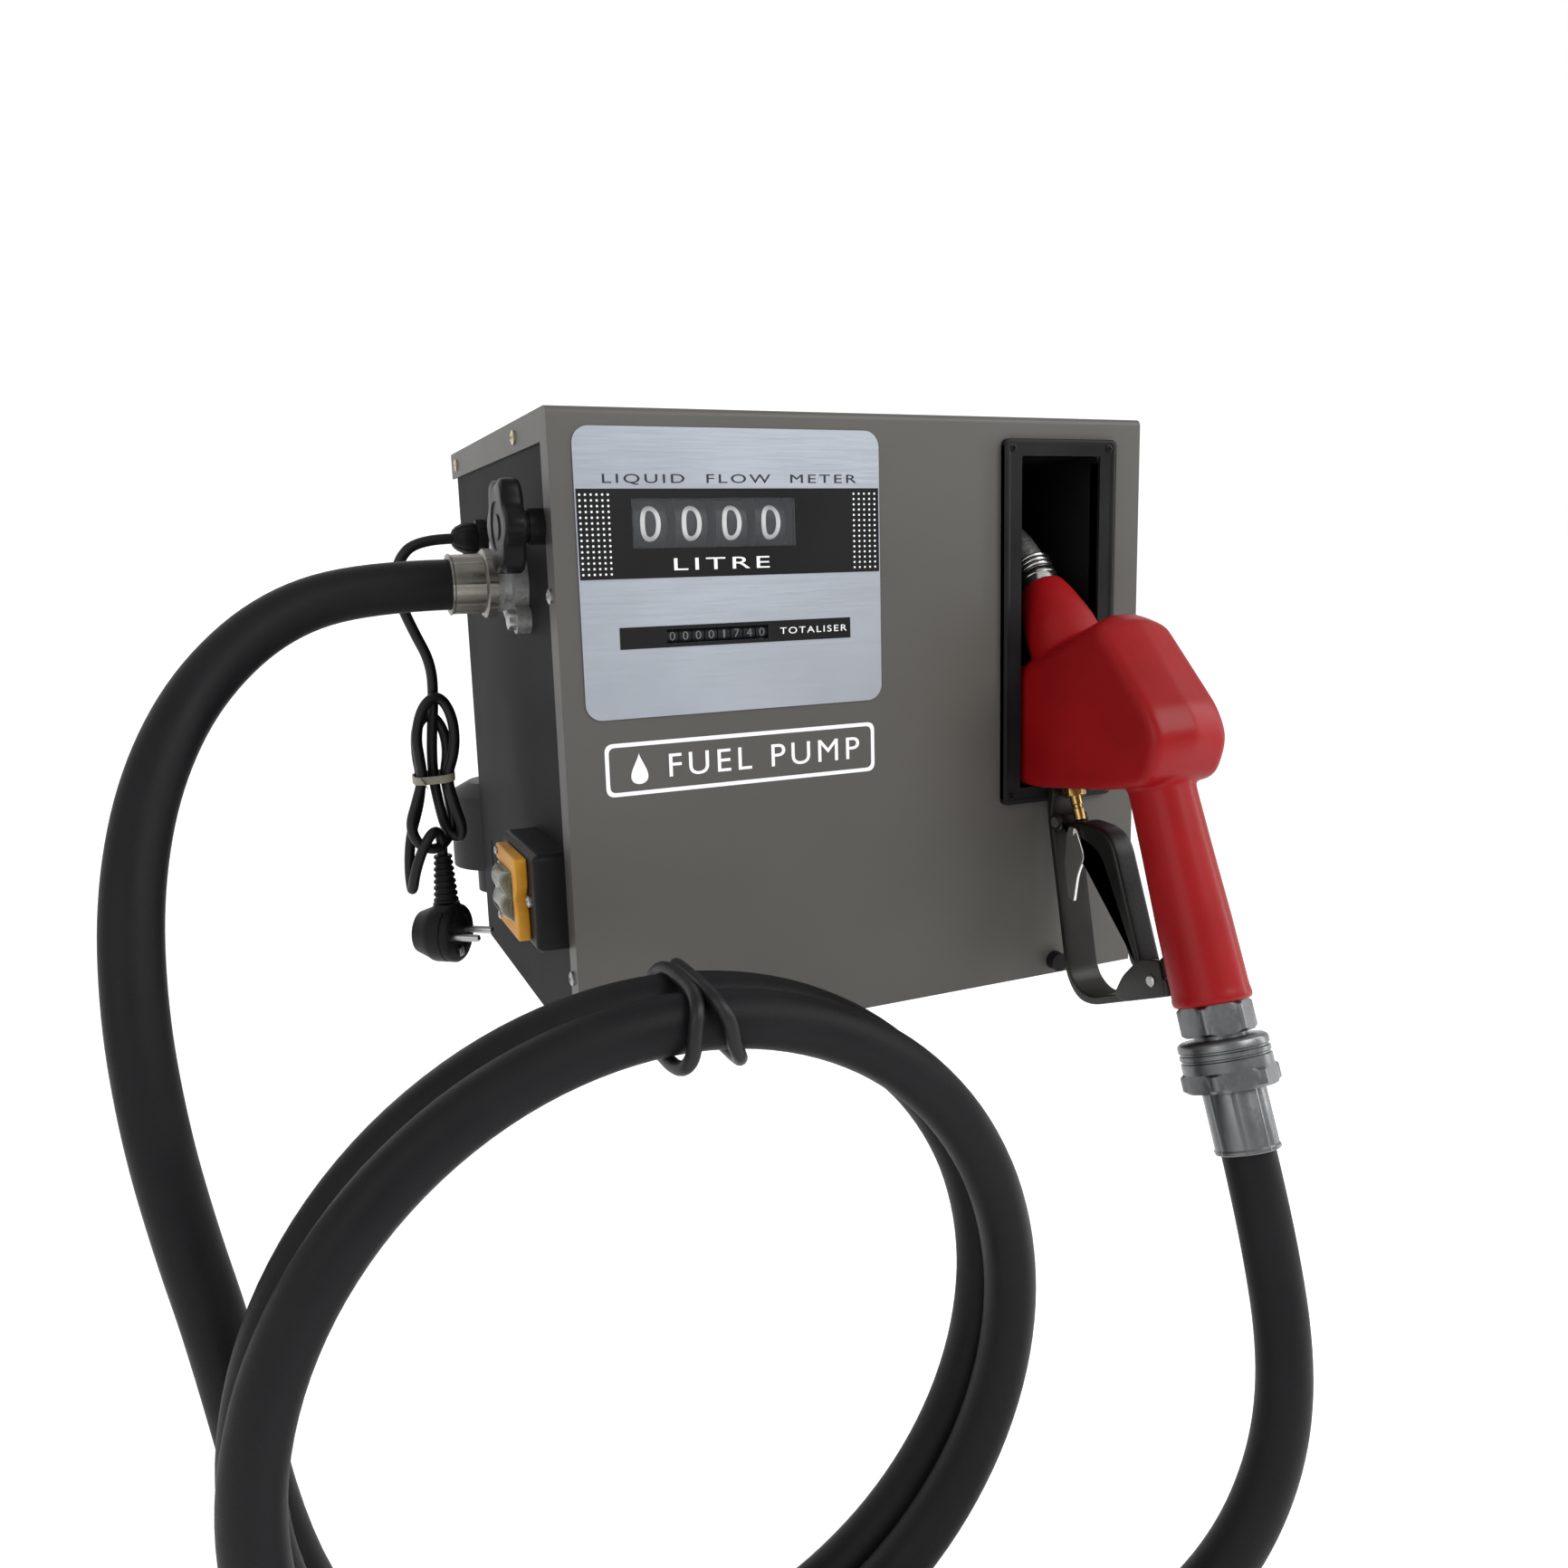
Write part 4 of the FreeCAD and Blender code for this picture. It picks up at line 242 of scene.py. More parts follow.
def slab(name, outline, low, high, edge=0.8, plane="YZ", crown=None, place=here, layers=7):
    """A flat outline given a thickness, with rounded edges.

    Near each face the outline is moved inwards by edge - sqrt(edge^2 - d^2), with d the way into
    the edge's round. crown, if given, moves a layer's points on as a function of its place.
    """
    outline = np.asarray(outline, float)
    slope = unit(np.roll(outline, -1, 0) - np.roll(outline, 1, 0))
    inward = np.stack([-slope[:, 1], slope[:, 0]], 1)
    shift = np.roll(outline, -1, 0)
    area = np.sum(outline[:, 0] * shift[:, 1] - shift[:, 0] * outline[:, 1])
    inward *= 1 if area > 0 else -1
    round_part = edge * (1 - np.cos(np.linspace(0, math.pi / 2, layers)))
    low_part, high_part = low + round_part, high - round_part[::-1]
    middle = np.linspace(low_part[-1], high_part[0], 7)[1:-1]
    depth = np.concatenate([low_part, middle, high_part])
    reach = np.maximum(0, edge - np.minimum(depth - low, high - depth))
    inset = edge - np.sqrt(np.maximum(edge ** 2 - reach ** 2, 0))
    flat = outline[None] + inset[:, None, None] * inward[None]
    if crown is not None:
        flat = crown(flat, depth[:, None])
    along = np.broadcast_to(depth[:, None], flat.shape[:2])
    order = {"YZ": (along, flat[..., 0], flat[..., 1]), "XZ": (flat[..., 0], along, flat[..., 1])}
    return grid_piece(name, place(np.stack(order[plane], -1)))


def box_outline(left, right_side, low, high):
    """The four corners of a rectangle."""
    return [(left, low), (right_side, low), (right_side, high), (left, high)]


def spline_curve(name, route, samples=8):
    """A curve object: the smooth spline that has the route as its control points."""
    curve = bpy.data.curves.new(name, "CURVE")
    curve.dimensions = "3D"
    curve.resolution_u = samples
    spline = curve.splines.new("NURBS")
    spline.points.add(len(route) - 1)
    flat = np.column_stack([np.asarray(route, float) * MM, np.ones(len(route))])
    spline.points.foreach_set("co", flat.ravel())
    spline.order_u = 3
    spline.use_endpoint_u = True
    holder = bpy.data.objects.new(name, curve)
    bpy.context.scene.collection.objects.link(holder)
    return holder


def taken_from(holder):
    """The points and faces of an object's mesh; the object and its curve are then removed."""
    curve = holder.data
    mesh = bpy.data.meshes.new_from_object(holder)
    points = np.zeros(len(mesh.vertices) * 3)
    mesh.vertices.foreach_get("co", points)
    faces = [list(polygon.vertices) for polygon in mesh.polygons]
    bpy.data.objects.remove(holder)
    bpy.data.curves.remove(curve)
    bpy.data.meshes.remove(mesh)
    return points.reshape(-1, 3), faces


def spline_points(name, route, samples=8):
    """Points, in millimetres, along the spline through a route."""
    points = taken_from(spline_curve(name, route, samples))[0] / MM
    return points[np.concatenate([[True], np.linalg.norm(np.diff(points, axis=0), axis=1) > 0.05])]


def squared(part, power):
    """A sine or cosine raised to a power with its sign kept, which squares off an ellipse."""
    return np.sign(part) * np.abs(part) ** power


def length_of(points):
    """The length of a line through points, in metres."""
    return float(np.linalg.norm(np.diff(points, axis=0), axis=1).sum() * MM)


# %% [markdown]
# ## Finishes
# Each finish is a small node tree on Object coordinates: a base colour that drifts between two close
# tones, a roughness that varies, and one or two layers of bump at the scale of the real surface.
# The values that are the same all over stay on the shader's own sockets.


# %% One recipe for every finish
GRAIN_DEEP = 0.0006
WAVE_DEEP = 0.002


def finish(name, light, dark, rough=(0.4, 0.5), metal=0.0, tone_scale=12, grain=600, grain_lift=0.1,
    wave=None, stretch=(1, 1, 1), coat=0.0, coat_rough=0.1, alpha=1.0, specular=0.28):
    """A material whose colour drifts from dark to light, with grain and slow waves as bump."""
    material = bpy.data.materials.new(name)
    material.use_nodes = True
    tree = material.node_tree
    shader = tree.nodes["Principled BSDF"]
    place = tree.nodes.new("ShaderNodeTexCoord")
    mapping = tree.nodes.new("ShaderNodeMapping")
    mapping.inputs["Scale"].default_value = stretch
    tree.links.new(place.outputs["Object"], mapping.inputs["Vector"])

    def noise(scale, detail=3.0, source=mapping.outputs["Vector"]):
        node = tree.nodes.new("ShaderNodeTexNoise")
        node.inputs["Scale"].default_value = scale
        node.inputs["Detail"].default_value = detail
        tree.links.new(source, node.inputs["Vector"])
        return node.outputs["Fac"]

    tone = noise(tone_scale, 4.0, place.outputs["Object"])
    ramp = tree.nodes.new("ShaderNodeValToRGB")
    ramp.color_ramp.elements[0].position = 0.3
    ramp.color_ramp.elements[1].position = 0.7
    ramp.color_ramp.elements[0].color = (*dark, 1)
    ramp.color_ramp.elements[1].color = (*light, 1)
    tree.links.new(tone, ramp.inputs["Fac"])
    tree.links.new(ramp.outputs["Color"], shader.inputs["Base Color"])
    fine = noise(grain)
    rough_range = tree.nodes.new("ShaderNodeMapRange")
    rough_range.inputs["From Min"].default_value = 0.3
    rough_range.inputs["From Max"].default_value = 0.7
    rough_range.inputs["To Min"].default_value = rough[0]
    rough_range.inputs["To Max"].default_value = rough[1]
    tree.links.new(fine if metal else tone, rough_range.inputs["Value"])
    tree.links.new(rough_range.outputs["Result"], shader.inputs["Roughness"])
    bump = tree.nodes.new("ShaderNodeBump")
    bump.inputs["Strength"].default_value = grain_lift
    bump.inputs["Distance"].default_value = GRAIN_DEEP
    tree.links.new(fine, bump.inputs["Height"])
    if wave:
        slow = tree.nodes.new("ShaderNodeBump")
        slow.inputs["Strength"].default_value = wave[1]
        slow.inputs["Distance"].default_value = WAVE_DEEP
        tree.links.new(noise(wave[0], 2.0, place.outputs["Object"]), slow.inputs["Height"])
        tree.links.new(slow.outputs["Normal"], bump.inputs["Normal"])
    tree.links.new(bump.outputs["Normal"], shader.inputs["Normal"])
    shader.inputs["Metallic"].default_value = metal
    shader.inputs["Coat Weight"].default_value = coat
    shader.inputs["Coat Roughness"].default_value = coat_rough
    shader.inputs["Specular IOR Level"].default_value = specular
    shader.inputs["Alpha"].default_value = alpha
    return material


# %% The finishes of this dispenser
powder_grey = finish("powder_grey", (0.088, 0.085, 0.076), (0.074, 0.071, 0.064), (0.42, 0.52), grain=900,
    grain_lift=0.08, tone_scale=5)
powder_dark = finish("powder_dark", (0.011, 0.011, 0.0125), (0.008, 0.008, 0.009), (0.5, 0.6), grain=900,
    grain_lift=0.12, tone_scale=6, specular=0.03)
brushed_plate = finish("brushed_plate", (0.43, 0.46, 0.51), (0.34, 0.365, 0.41), (0.34, 0.46), metal=0.75,
    tone_scale=7, grain=90, grain_lift=0.05, stretch=(0.4, 1, 14))
print_black = finish("print_black", (0.007, 0.007, 0.008), (0.005, 0.005, 0.005), (0.34, 0.44), grain=700,
    grain_lift=0.04, specular=0.2)
print_white = finish("print_white", (0.86, 0.87, 0.87), (0.78, 0.79, 0.79), (0.4, 0.5), grain=900,
    grain_lift=0.03)
print_ink = finish("print_ink", (0.02, 0.02, 0.025), (0.015, 0.015, 0.02), (0.4, 0.5), grain=900,
    grain_lift=0.03)
wheel_black = finish("wheel_black", (0.012, 0.013, 0.016), (0.008, 0.009, 0.011), (0.4, 0.5), grain=300,
    grain_lift=0.02, specular=0.15)
digit_cream = finish("digit_cream", (0.62, 0.63, 0.62), (0.50, 0.51, 0.50), (0.4, 0.55), grain=700,
    grain_lift=0.05, tone_scale=120)
digit_dim = finish("digit_dim", (0.15, 0.15, 0.145), (0.10, 0.10, 0.10), (0.4, 0.55), grain=700,
    grain_lift=0.05)
moulded_black = finish("moulded_black", (0.010, 0.010, 0.011), (0.007, 0.007, 0.0075), (0.36, 0.5),
    grain=1300, grain_lift=0.16, tone_scale=20, specular=0.12)
gloss_black = finish("gloss_black", (0.006, 0.006, 0.007), (0.004, 0.004, 0.0045), (0.3, 0.42), grain=400,
    grain_lift=0.05, tone_scale=25, specular=0.1)
yellow_plastic = finish("yellow_plastic", (0.58, 0.27, 0.018), (0.46, 0.20, 0.012), (0.38, 0.5), grain=900,
    grain_lift=0.1, tone_scale=30)
smoky_film = finish("smoky_film", (0.125, 0.115, 0.062), (0.105, 0.096, 0.052), (0.18, 0.24), grain=60,
    grain_lift=0.01, tone_scale=25, coat=0.5, alpha=0.78)
clear_window = finish("clear_window", (0.5, 0.52, 0.54), (0.45, 0.47, 0.5), (0.04, 0.08), grain=60,
    grain_lift=0.01, alpha=0.05)
plated_yellow = finish("plated_yellow", (0.28, 0.266, 0.24), (0.2, 0.19, 0.17), (0.28, 0.42), metal=1.0,
    tone_scale=40, grain=500, grain_lift=0.10)
satin_steel = finish("satin_steel", (0.185, 0.188, 0.19), (0.13, 0.133, 0.136), (0.3, 0.42), metal=1.0,
    tone_scale=40, grain=500, grain_lift=0.08)
plated_grey = finish("plated_grey", (0.45, 0.45, 0.44), (0.32, 0.32, 0.32), (0.28, 0.44), metal=1.0,
    tone_scale=45, grain=500, grain_lift=0.12)
zinc_screw = finish("zinc_screw", (0.60, 0.53, 0.38), (0.44, 0.38, 0.28), (0.25, 0.4), metal=1.0,
    tone_scale=90, grain=900, grain_lift=0.1)
cast_alloy = finish("cast_alloy", (0.40, 0.40, 0.39), (0.27, 0.27, 0.27), (0.42, 0.6), metal=1.0,
    tone_scale=30, grain=420, grain_lift=0.4)
bright_ring = finish("bright_ring", (0.70, 0.70, 0.69), (0.58, 0.58, 0.57), (0.16, 0.24), metal=1.0,
    grain=300, grain_lift=0.03)
cast_black = finish("cast_black", (0.016, 0.016, 0.017), (0.010, 0.010, 0.011), (0.45, 0.6), grain=350,
    grain_lift=0.45, tone_scale=25)
red_vinyl = finish("red_vinyl", (0.270, 0.0045, 0.0065), (0.215, 0.003, 0.004), (0.4, 0.5), grain=260,
    grain_lift=0.02, wave=(38, 0.06), tone_scale=22, coat=0.07, coat_rough=0.2, specular=0.14)
black_rubber = finish("black_rubber", (0.010, 0.010, 0.011), (0.006, 0.006, 0.007), (0.42, 0.6), grain=1100,
    grain_lift=0.3, wave=(45, 0.1), tone_scale=16, specular=0.12)
cable_rubber = finish("cable_rubber", (0.009, 0.009, 0.010), (0.006, 0.006, 0.007), (0.34, 0.5), grain=1500,
    grain_lift=0.12, tone_scale=60)
beige_tie = finish("beige_tie", (0.36, 0.33, 0.25), (0.28, 0.255, 0.19), (0.5, 0.65), grain=1200,
    grain_lift=0.3)
machined_brass = finish("machined_brass", (0.50, 0.35, 0.12), (0.34, 0.23, 0.07), (0.22, 0.36), metal=1.0,
    tone_scale=90, grain=700, grain_lift=0.1)
lever_paint = finish("lever_paint", (0.007, 0.007, 0.0065), (0.004, 0.004, 0.004), (0.3, 0.46), grain=500,
    grain_lift=0.2, tone_scale=35)
guard_paint = finish("guard_paint", (0.014, 0.013, 0.010), (0.008, 0.0075, 0.006), (0.34, 0.5), grain=500,
    grain_lift=0.2, tone_scale=35)
white_moulding = finish("white_moulding", (0.66, 0.65, 0.6), (0.56, 0.55, 0.5), (0.4, 0.5), grain=800,
    grain_lift=0.1)
print(len(bpy.data.materials), "finishes")


# %% Attach a piece to its body and finish
def attach(piece, body, material, slot, *nodes):
    """Give a new piece its finish, its body (none for one that bends) and the CAD nodes it stands for."""
    piece.data.materials.clear()
    piece.data.materials.append(material)
    if body:
        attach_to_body(piece, body)
    if nodes:
        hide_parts(*nodes)
    return piece


# %% [markdown]
# ## The delivery hose
# A fuel hose is stiff rubber, about 28 mm thick, so it keeps wide curves. It leaves the outlet
# straight, swings forward, lies in a coil of two and a quarter turns, and climbs to the nozzle. Only
# part of such a hose is seen, so its length is that of a usual four-metre hose. A spline through the
# route's points gives the line, and a circle is carried along it. The piece is a mesh on no body,
# as the real hose bends between the cabinet and the nozzle when the nozzle is drawn.
#
# TAIL_DROP adds up what lies along the grip before the hose: grip, nipple, gap, swivel and sleeve.

# %% The hose's route
NOZZLE_X = 127.0
GRIP_ORIGIN = np.array([NOZZLE_X, -241.0, 124.0])
LEAN = math.radians(22)
DOWN_GRIP = np.array([0, -math.sin(LEAN), -math.cos(LEAN)])
HOSE_DIAMETER = 28.5
HOSE_STRAIGHT = 48
TAIL_DROP = 106 + 16 + 2 + 27 + 31
HOSE_LEAD = [
    (-320, -55, 248), (-359, -76, 216), (-384, -103, 175), (-397, -131, 127),
    (-400, -154, 74), (-396, -170, 20), (-388, -178, -32), (-377, -190, -82),
]
HOSE_RISER = [
    (125, -345, -151), (115, -350, -203), (91, -347, -252), (52, -336, -292), (3, -321, -317),
    (-51, -305, -329), (-104, -289, -332),
]
COIL_CENTRE = (-176, -134)
COIL_RADIUS = 194
COIL_TURNS = 2.25
COIL_STEP = 28.9
COIL_POINTS = 16
COIL_BACK_Y = -205.5
PORT = (-47.5, 261)
hose_exit = np.array([-225.0, *PORT])
hose_end = GRIP_ORIGIN + DOWN_GRIP * TAIL_DROP
coil_angle = math.pi + np.arange(1, int(COIL_TURNS * COIL_POINTS) - 1) * TURN / COIL_POINTS
coil_reach = COIL_RADIUS / math.cos(math.pi / COIL_POINTS)
coil_route = np.stack([
    COIL_CENTRE[0] + coil_reach * np.cos(coil_angle),
    COIL_BACK_Y - (coil_angle - math.pi) / TURN * COIL_STEP,
    COIL_CENTRE[1] + coil_reach * np.sin(coil_angle),
], 1)
hose_route = np.vstack([
    [hose_exit, hose_exit - [HOSE_STRAIGHT, 0, 0]], HOSE_LEAD, coil_route, HOSE_RISER[::-1],
    [hose_end + DOWN_GRIP * HOSE_STRAIGHT, hose_end],
])
hose_line = spline_points("hose_line", hose_route)
print("hose", round(length_of(hose_line), 3), "m,", len(hose_line), "stations")

# %% The hose
hose = swept("hose", hose_line, circle(HOSE_DIAMETER / 2, 28))
attach(hose, None, black_rubber, "hose_rubber", "hose_lead", "hose_coil", "hose_riser")
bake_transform(hose)

# %% [markdown]
# A short black cord is hitched round the coil's top turns to keep them together. It is a loop of
# soft rubber cord: one closed path that goes round both turns, and a second that crosses in front.

# %% The hose's tie
TIE_X = -160
TIE_CORD = 3.6
tie_top = COIL_CENTRE[1] + COIL_RADIUS
tie_turn = np.linspace(0, TURN, 64, endpoint=False)
tie_middle_y = COIL_BACK_Y - 1.25 * COIL_STEP
tie_half_z = HOSE_DIAMETER / 2 + TIE_CORD + 0.4
tie_half_y = tie_half_z + 0.5 * COIL_STEP


def tie_loop(name, x, sway, grow):
    """A loop round the turns: a super-ellipse in the upright plane, swaying along the hose."""
    y = tie_middle_y - (tie_half_y + grow) * squared(np.cos(tie_turn), 0.6)
    z = tie_top + (tie_half_z + grow) * squared(np.sin(tie_turn), 0.6)
    path = np.stack([x + sway * np.sin(tie_turn), y, z - 2.0], 1)
    return swept(name, path, circle(TIE_CORD, 14), reference=(1, 0, 0), closed=True)


hose_tie = joined("hose_tie_cord",
    [tie_loop("tie_a", TIE_X - 9, 5, 0), tie_loop("tie_b", TIE_X + 9, -8, 0.5)])
attach(hose_tie, "cabinet", cable_rubber, "cord_black", "hose_tie")

# %% [markdown]
# ## The mains lead
# The lead leaves its gland, hangs down the left side and is folded into a hank with a paper-and-wire
# tie. It is shown from end to end, so the folds hold its whole length. Each fold passes the tie in
# its own place, three in front and two behind, so no strand runs through another.

# %% The lead's route
LEAD_DIAMETER = 6.8
LEAD_ROUTE = [
    (-205, 49.5, 289), (-229, 49.5, 289), (-243, 49.5, 275), (-244, 49.3, 254), (-236, 49, 232),
    (-226, 50, 210), (-226, 53, 185), (-229, 53.5, 160), (-230, 53, 136), (-227, 54, 115), (-224, 54, 99),
    (-216, 51, 92), (-214, 47, 101), (-219, 45, 118), (-222.4, 45.2, 136), (-216, 45.5, 152), (-215, 46, 170),
    (-219, 46.5, 184), (-226, 45.5, 190), (-235, 45, 182), (-240, 45, 164), (-238.4, 45.2, 148),
    (-237.4, 45.2, 136), (-243, 44.5, 120), (-248, 44, 106), (-244, 43.5, 93), (-233, 44.5, 88),
    (-224, 52, 92), (-218, 58, 102), (-220, 57.5, 120), (-222.6, 53, 136), (-219, 54.5, 152),
    (-221, 55.5, 168), (-229, 55.8, 178), (-238, 54.5, 170), (-239.5, 53.5, 152), (-237.4, 52.8, 136),
    (-240, 53.5, 118), (-247, 53.5, 98), (-249.5, 53.5, 78), (-249.5, 50.5, 63), (-249.2, 45.5, 63),
    (-247, 42.4, 76), (-241, 40.5, 92), (-234, 41.0, 102), (-229.4, 45.5, 99), (-228, 49.0, 90),
    (-228, 49.5, 80),
]
lead_line = spline_points("lead_line", LEAD_ROUTE)
print("mains lead", round(length_of(lead_line), 3), "m")

# %% The lead
lead = spline_curve("mains_cord", LEAD_ROUTE)
lead.data.bevel_depth = LEAD_DIAMETER / 2 * MM
lead.data.bevel_resolution = 5
lead.data.use_fill_caps = True
attach(lead, "cabinet", cable_rubber, "cord_black", "mains_lead", "mains_hank")

# %% [markdown]
# The hank's tie is a flat strip of paper round a wire. It goes once round the strands, and its two
# ends are twisted together in front.

# %% The hank's tie
TIE_HEIGHT = 136
strip = rounded([(-2.6, -0.5), (2.6, -0.5), (2.6, 0.5), (-2.6, 0.5)], 0.3, 3)
turn_points = np.linspace(0, TURN, 72, endpoint=False)
tie_path = np.stack([
    -230 + 12.9 * squared(np.cos(turn_points), 0.62),
    49.1 + 9.0 * squared(np.sin(turn_points), 0.62),
    TIE_HEIGHT + 0.9 * np.sin(turn_points + 0.6),
], 1)
tie_band = swept("tie_band", tie_path, strip[:, ::-1], reference=(0, 0, 1), closed=True)
twist = np.linspace(0, 1, 24)
tail_path = np.stack([-240 + 4.5 * twist, 40.6 - 1.2 * np.sin(twist * 3), 137.5 - 7 * twist], 1)
tie_tail = swept("tie_tail", tail_path, strip[:, ::-1] * 0.55)
hank_tie = joined("hank_tie_strip", [tie_band, tie_tail])
attach(hank_tie, "cabinet", beige_tie, "tie_beige", "hank_tie")

# %% [markdown]
# ## The plug
# A moulded angled plug: a round body with a flat face, two steel pins, an earth clip, and a ribbed
# strain relief that points up to the lead. Each part is a profile turned round its own axis.

# %% The plug
PLUG_CENTRE = np.array([-228, 49, 30.0])
PLUG_TURN = math.radians(-37)
PIN_AXIS = np.array([math.cos(PLUG_TURN), math.sin(PLUG_TURN), 0])
FACE_SIDE = np.array([-PIN_AXIS[1], PIN_AXIS[0], 0])
RELIEF_FOOT, RELIEF_TOP = 22.0, 53.5
plug_shell = turned("plug_shell", [
    (0, -20.5), (11, -20.5), (14, -19.6), (17.4, -11), (19, -8), (19.5, -6), (19.5, 2), (18.8, 2.6),
    (18.8, 3.4), (19.5, 4), (19.5, 7.2), (18.6, 8.5), (13.4, 8.5), (12.8, 7.4), (0, 7.4),
], PLUG_CENTRE, PIN_AXIS, around=72)
relief_steps = np.linspace(RELIEF_FOOT, RELIEF_TOP, 90)
relief_part = (relief_steps - RELIEF_FOOT) / (RELIEF_TOP - RELIEF_FOOT)
relief_ribs = np.tanh(2.5 * np.sin(relief_part * TURN * 7.5))
relief_radius = 7.6 - 2.2 * relief_part + 0.55 * relief_ribs
plug_neck = turned("plug_neck", [(0, 8), (11, 8), (9.8, 17), (8.8, 19.5), (8.6, 21), (0, 21)], PLUG_CENTRE,
    (0, 0, 1))
relief = turned("plug_relief", [(0, 20)] + list(zip(relief_radius, relief_steps)) + [(0, RELIEF_TOP)],
    PLUG_CENTRE, (0, 0, 1), around=40)
plug_body = joined("plug_moulding", [plug_shell, plug_neck, relief])
attach(plug_body, "cabinet", moulded_black, "plastic_black", "plug")
pins = [turned(f"pin_{side}", [(0, 6), (2.4, 6), (2.4, 25.5), (2.1, 26.8), (1.2, 27.5), (0, 27.5)],
        PLUG_CENTRE + FACE_SIDE * 9.5 * side, PIN_AXIS, around=24) for side in (-1, 1)]
plug_pins = attach(joined("plug_contact_pins", pins), "cabinet", plated_grey, "steel_plain")


def on_plug(points):
    """Local x across the face, y out of it, z up, put at the plug."""
    x, y, z = points[..., :1], points[..., 1:2], points[..., 2:]
    return PLUG_CENTRE + x * FACE_SIDE + y * PIN_AXIS + z * [0, 0, 1]


earth_clip = slab("earth_clip", rounded(box_outline(-3, 3, -15.5, -9.5), 1), 6.6, 9.2, 0.4, "XZ",
    place=on_plug)
attach(earth_clip, "cabinet", plated_grey, "steel_plain")

# %% [markdown]
# ## The nozzle
# The nozzle hangs by its spout in the holster, its grip leaning out and down. Its own frame has z up
# the grip and y towards the spout; `on_nozzle` turns that frame by the grip's lean and puts it in
# place, so every part of the nozzle is drawn upright.


# %% The nozzle's own frame
def on_nozzle(points):
    """Local (x, y, z): y' = y cos + z sin, z' = z cos - y sin, then moved to the grip's top."""
    points = np.asarray(points, float)
    x, y, z = points[..., 0], points[..., 1], points[..., 2]
    turned_y = y * math.cos(LEAN) + z * math.sin(LEAN)
    turned_z = z * math.cos(LEAN) - y * math.sin(LEAN)
    return np.stack([x, turned_y, turned_z], -1) + GRIP_ORIGIN


GRIP_AXIS = on_nozzle((0, 0, 1.0)) - GRIP_ORIGIN

# %% [markdown]
# ### The red cover
# A dipped vinyl skin is soft at every edge and every joint. It is made as three plain closed forms: a
# flat-sided head with a slight ridge down its front, a tapering grip, and a hood round the spout. A
# voxel remesh joins them into one skin, and a few smoothing passes soften the joints as the dip does.

# %% Head, grip and hood
HEAD_HALF = 26
RIDGE_RISE = 4.0
CROWN_FALL = 12.0
CROWN_FOOT = 84
head_outline = rounded([(-7, 118), (-33, 50), (-34, 32), (-18, 14), (19, 20), (81, 36), (118, 50),
        (104, 98), (94, 118)], [9, 8, 12, 9, 10, 6, 6, 10, 8], 9)
head_slope = unit(np.roll(head_outline, -1, 0) - np.roll(head_outline, 1, 0))
faces_front = np.clip((np.abs(head_slope[:, 1]) - 0.75) / 0.2, 0, 1) * (head_outline[:, 0] < 5)


def ridge(flat, depth):
    """The front face rises 4 mm to a line down its middle, and the crown falls 12 mm to either side."""
    flat = flat.copy()
    across = np.abs(depth) / HEAD_HALF
    flat[..., 0] -= RIDGE_RISE * (1 - across) * faces_front[None]
    near_crown = np.clip((flat[..., 1] - CROWN_FOOT) / 30, 0, 1)
    flat[..., 1] -= CROWN_FALL * np.clip(across - 0.25, 0, 1) ** 1.3 * near_crown
    return flat


head = slab("head", head_outline, -HEAD_HALF, HEAD_HALF, 5.5, crown=ridge, place=on_nozzle)
grip_heights = np.array([-106, -105.4, -104, -101.5, -99.5, -97, -60, -20, 5, 26])
grip_radii = np.array([19.6, 20.9, 21.6, 21.4, 20.8, 20.8, 20.3, 19.1, 18.6, 18.4])
grip_profile = [(0, -106)] + list(zip(grip_radii, grip_heights)) + [(0, 26)]
grip = turned("grip", grip_profile, (0, 0, 0), (0, 0, 1), place=on_nozzle, around=72)
CONE_LEAN = math.radians(38)
HEADING = np.array([0, math.sin(CONE_LEAN), math.cos(CONE_LEAN)])
cone_base = on_nozzle((0, 50.0, 105.0))
hood = turned("hood", [(0, -20), (22.6, -20), (22.6, 18), (22.0, 26), (20.4, 34), (17.6, 46), (15.2, 54),
        (13.9, 57.4), (12.8, 58.2), (0, 58.2)], cone_base, HEADING, around=72)
cover = joined("nozzle_vinyl", [head, grip, hood])
remesh = cover.modifiers.new("one skin", "REMESH")
remesh.mode = "VOXEL"
remesh.voxel_size = 1.15 * MM
remesh.use_smooth_shade = True
soften = cover.modifiers.new("soft joints", "SMOOTH")
soften.factor = 0.5
soften.iterations = 18
attach(cover, "nozzle", red_vinyl, "vinyl_red", "nozzle_cover", "nozzle_casting")

# %% [markdown]
# ### The spout
# An aluminium tube that bends down towards its tip, in a bright collar, with wire rings on it. The
# tube is hollow: its table of points runs out along the outside and back along the inside.

# %% Spout, collar and rings
neck = cone_base + HEADING * 58
collar_end = neck + HEADING * 9
bend = collar_end + HEADING * 24
spout_route = [neck - HEADING * 4, bend]
for tilt, reach in ((72, 42), (80, 26)):
    tilt = math.radians(tilt)
    spout_route.append(spout_route[-1] + [0, reach * math.sin(tilt), reach * math.cos(tilt)])
spout_line = spline_points("spout_line", spout_route, 10)


def sweep_table(path, radius):
    """A circle's points carried along a path that lies in an upright plane."""
    ahead = unit(np.gradient(path, axis=0))
    side = np.broadcast_to([1.0, 0, 0], ahead.shape)
    lift = np.cross(side, ahead)
    spokes = circle(radius, 36)
    return path[:, None] + spokes[None, :, :1] * side[:, None] + spokes[None, :, 1:] * lift[:, None]


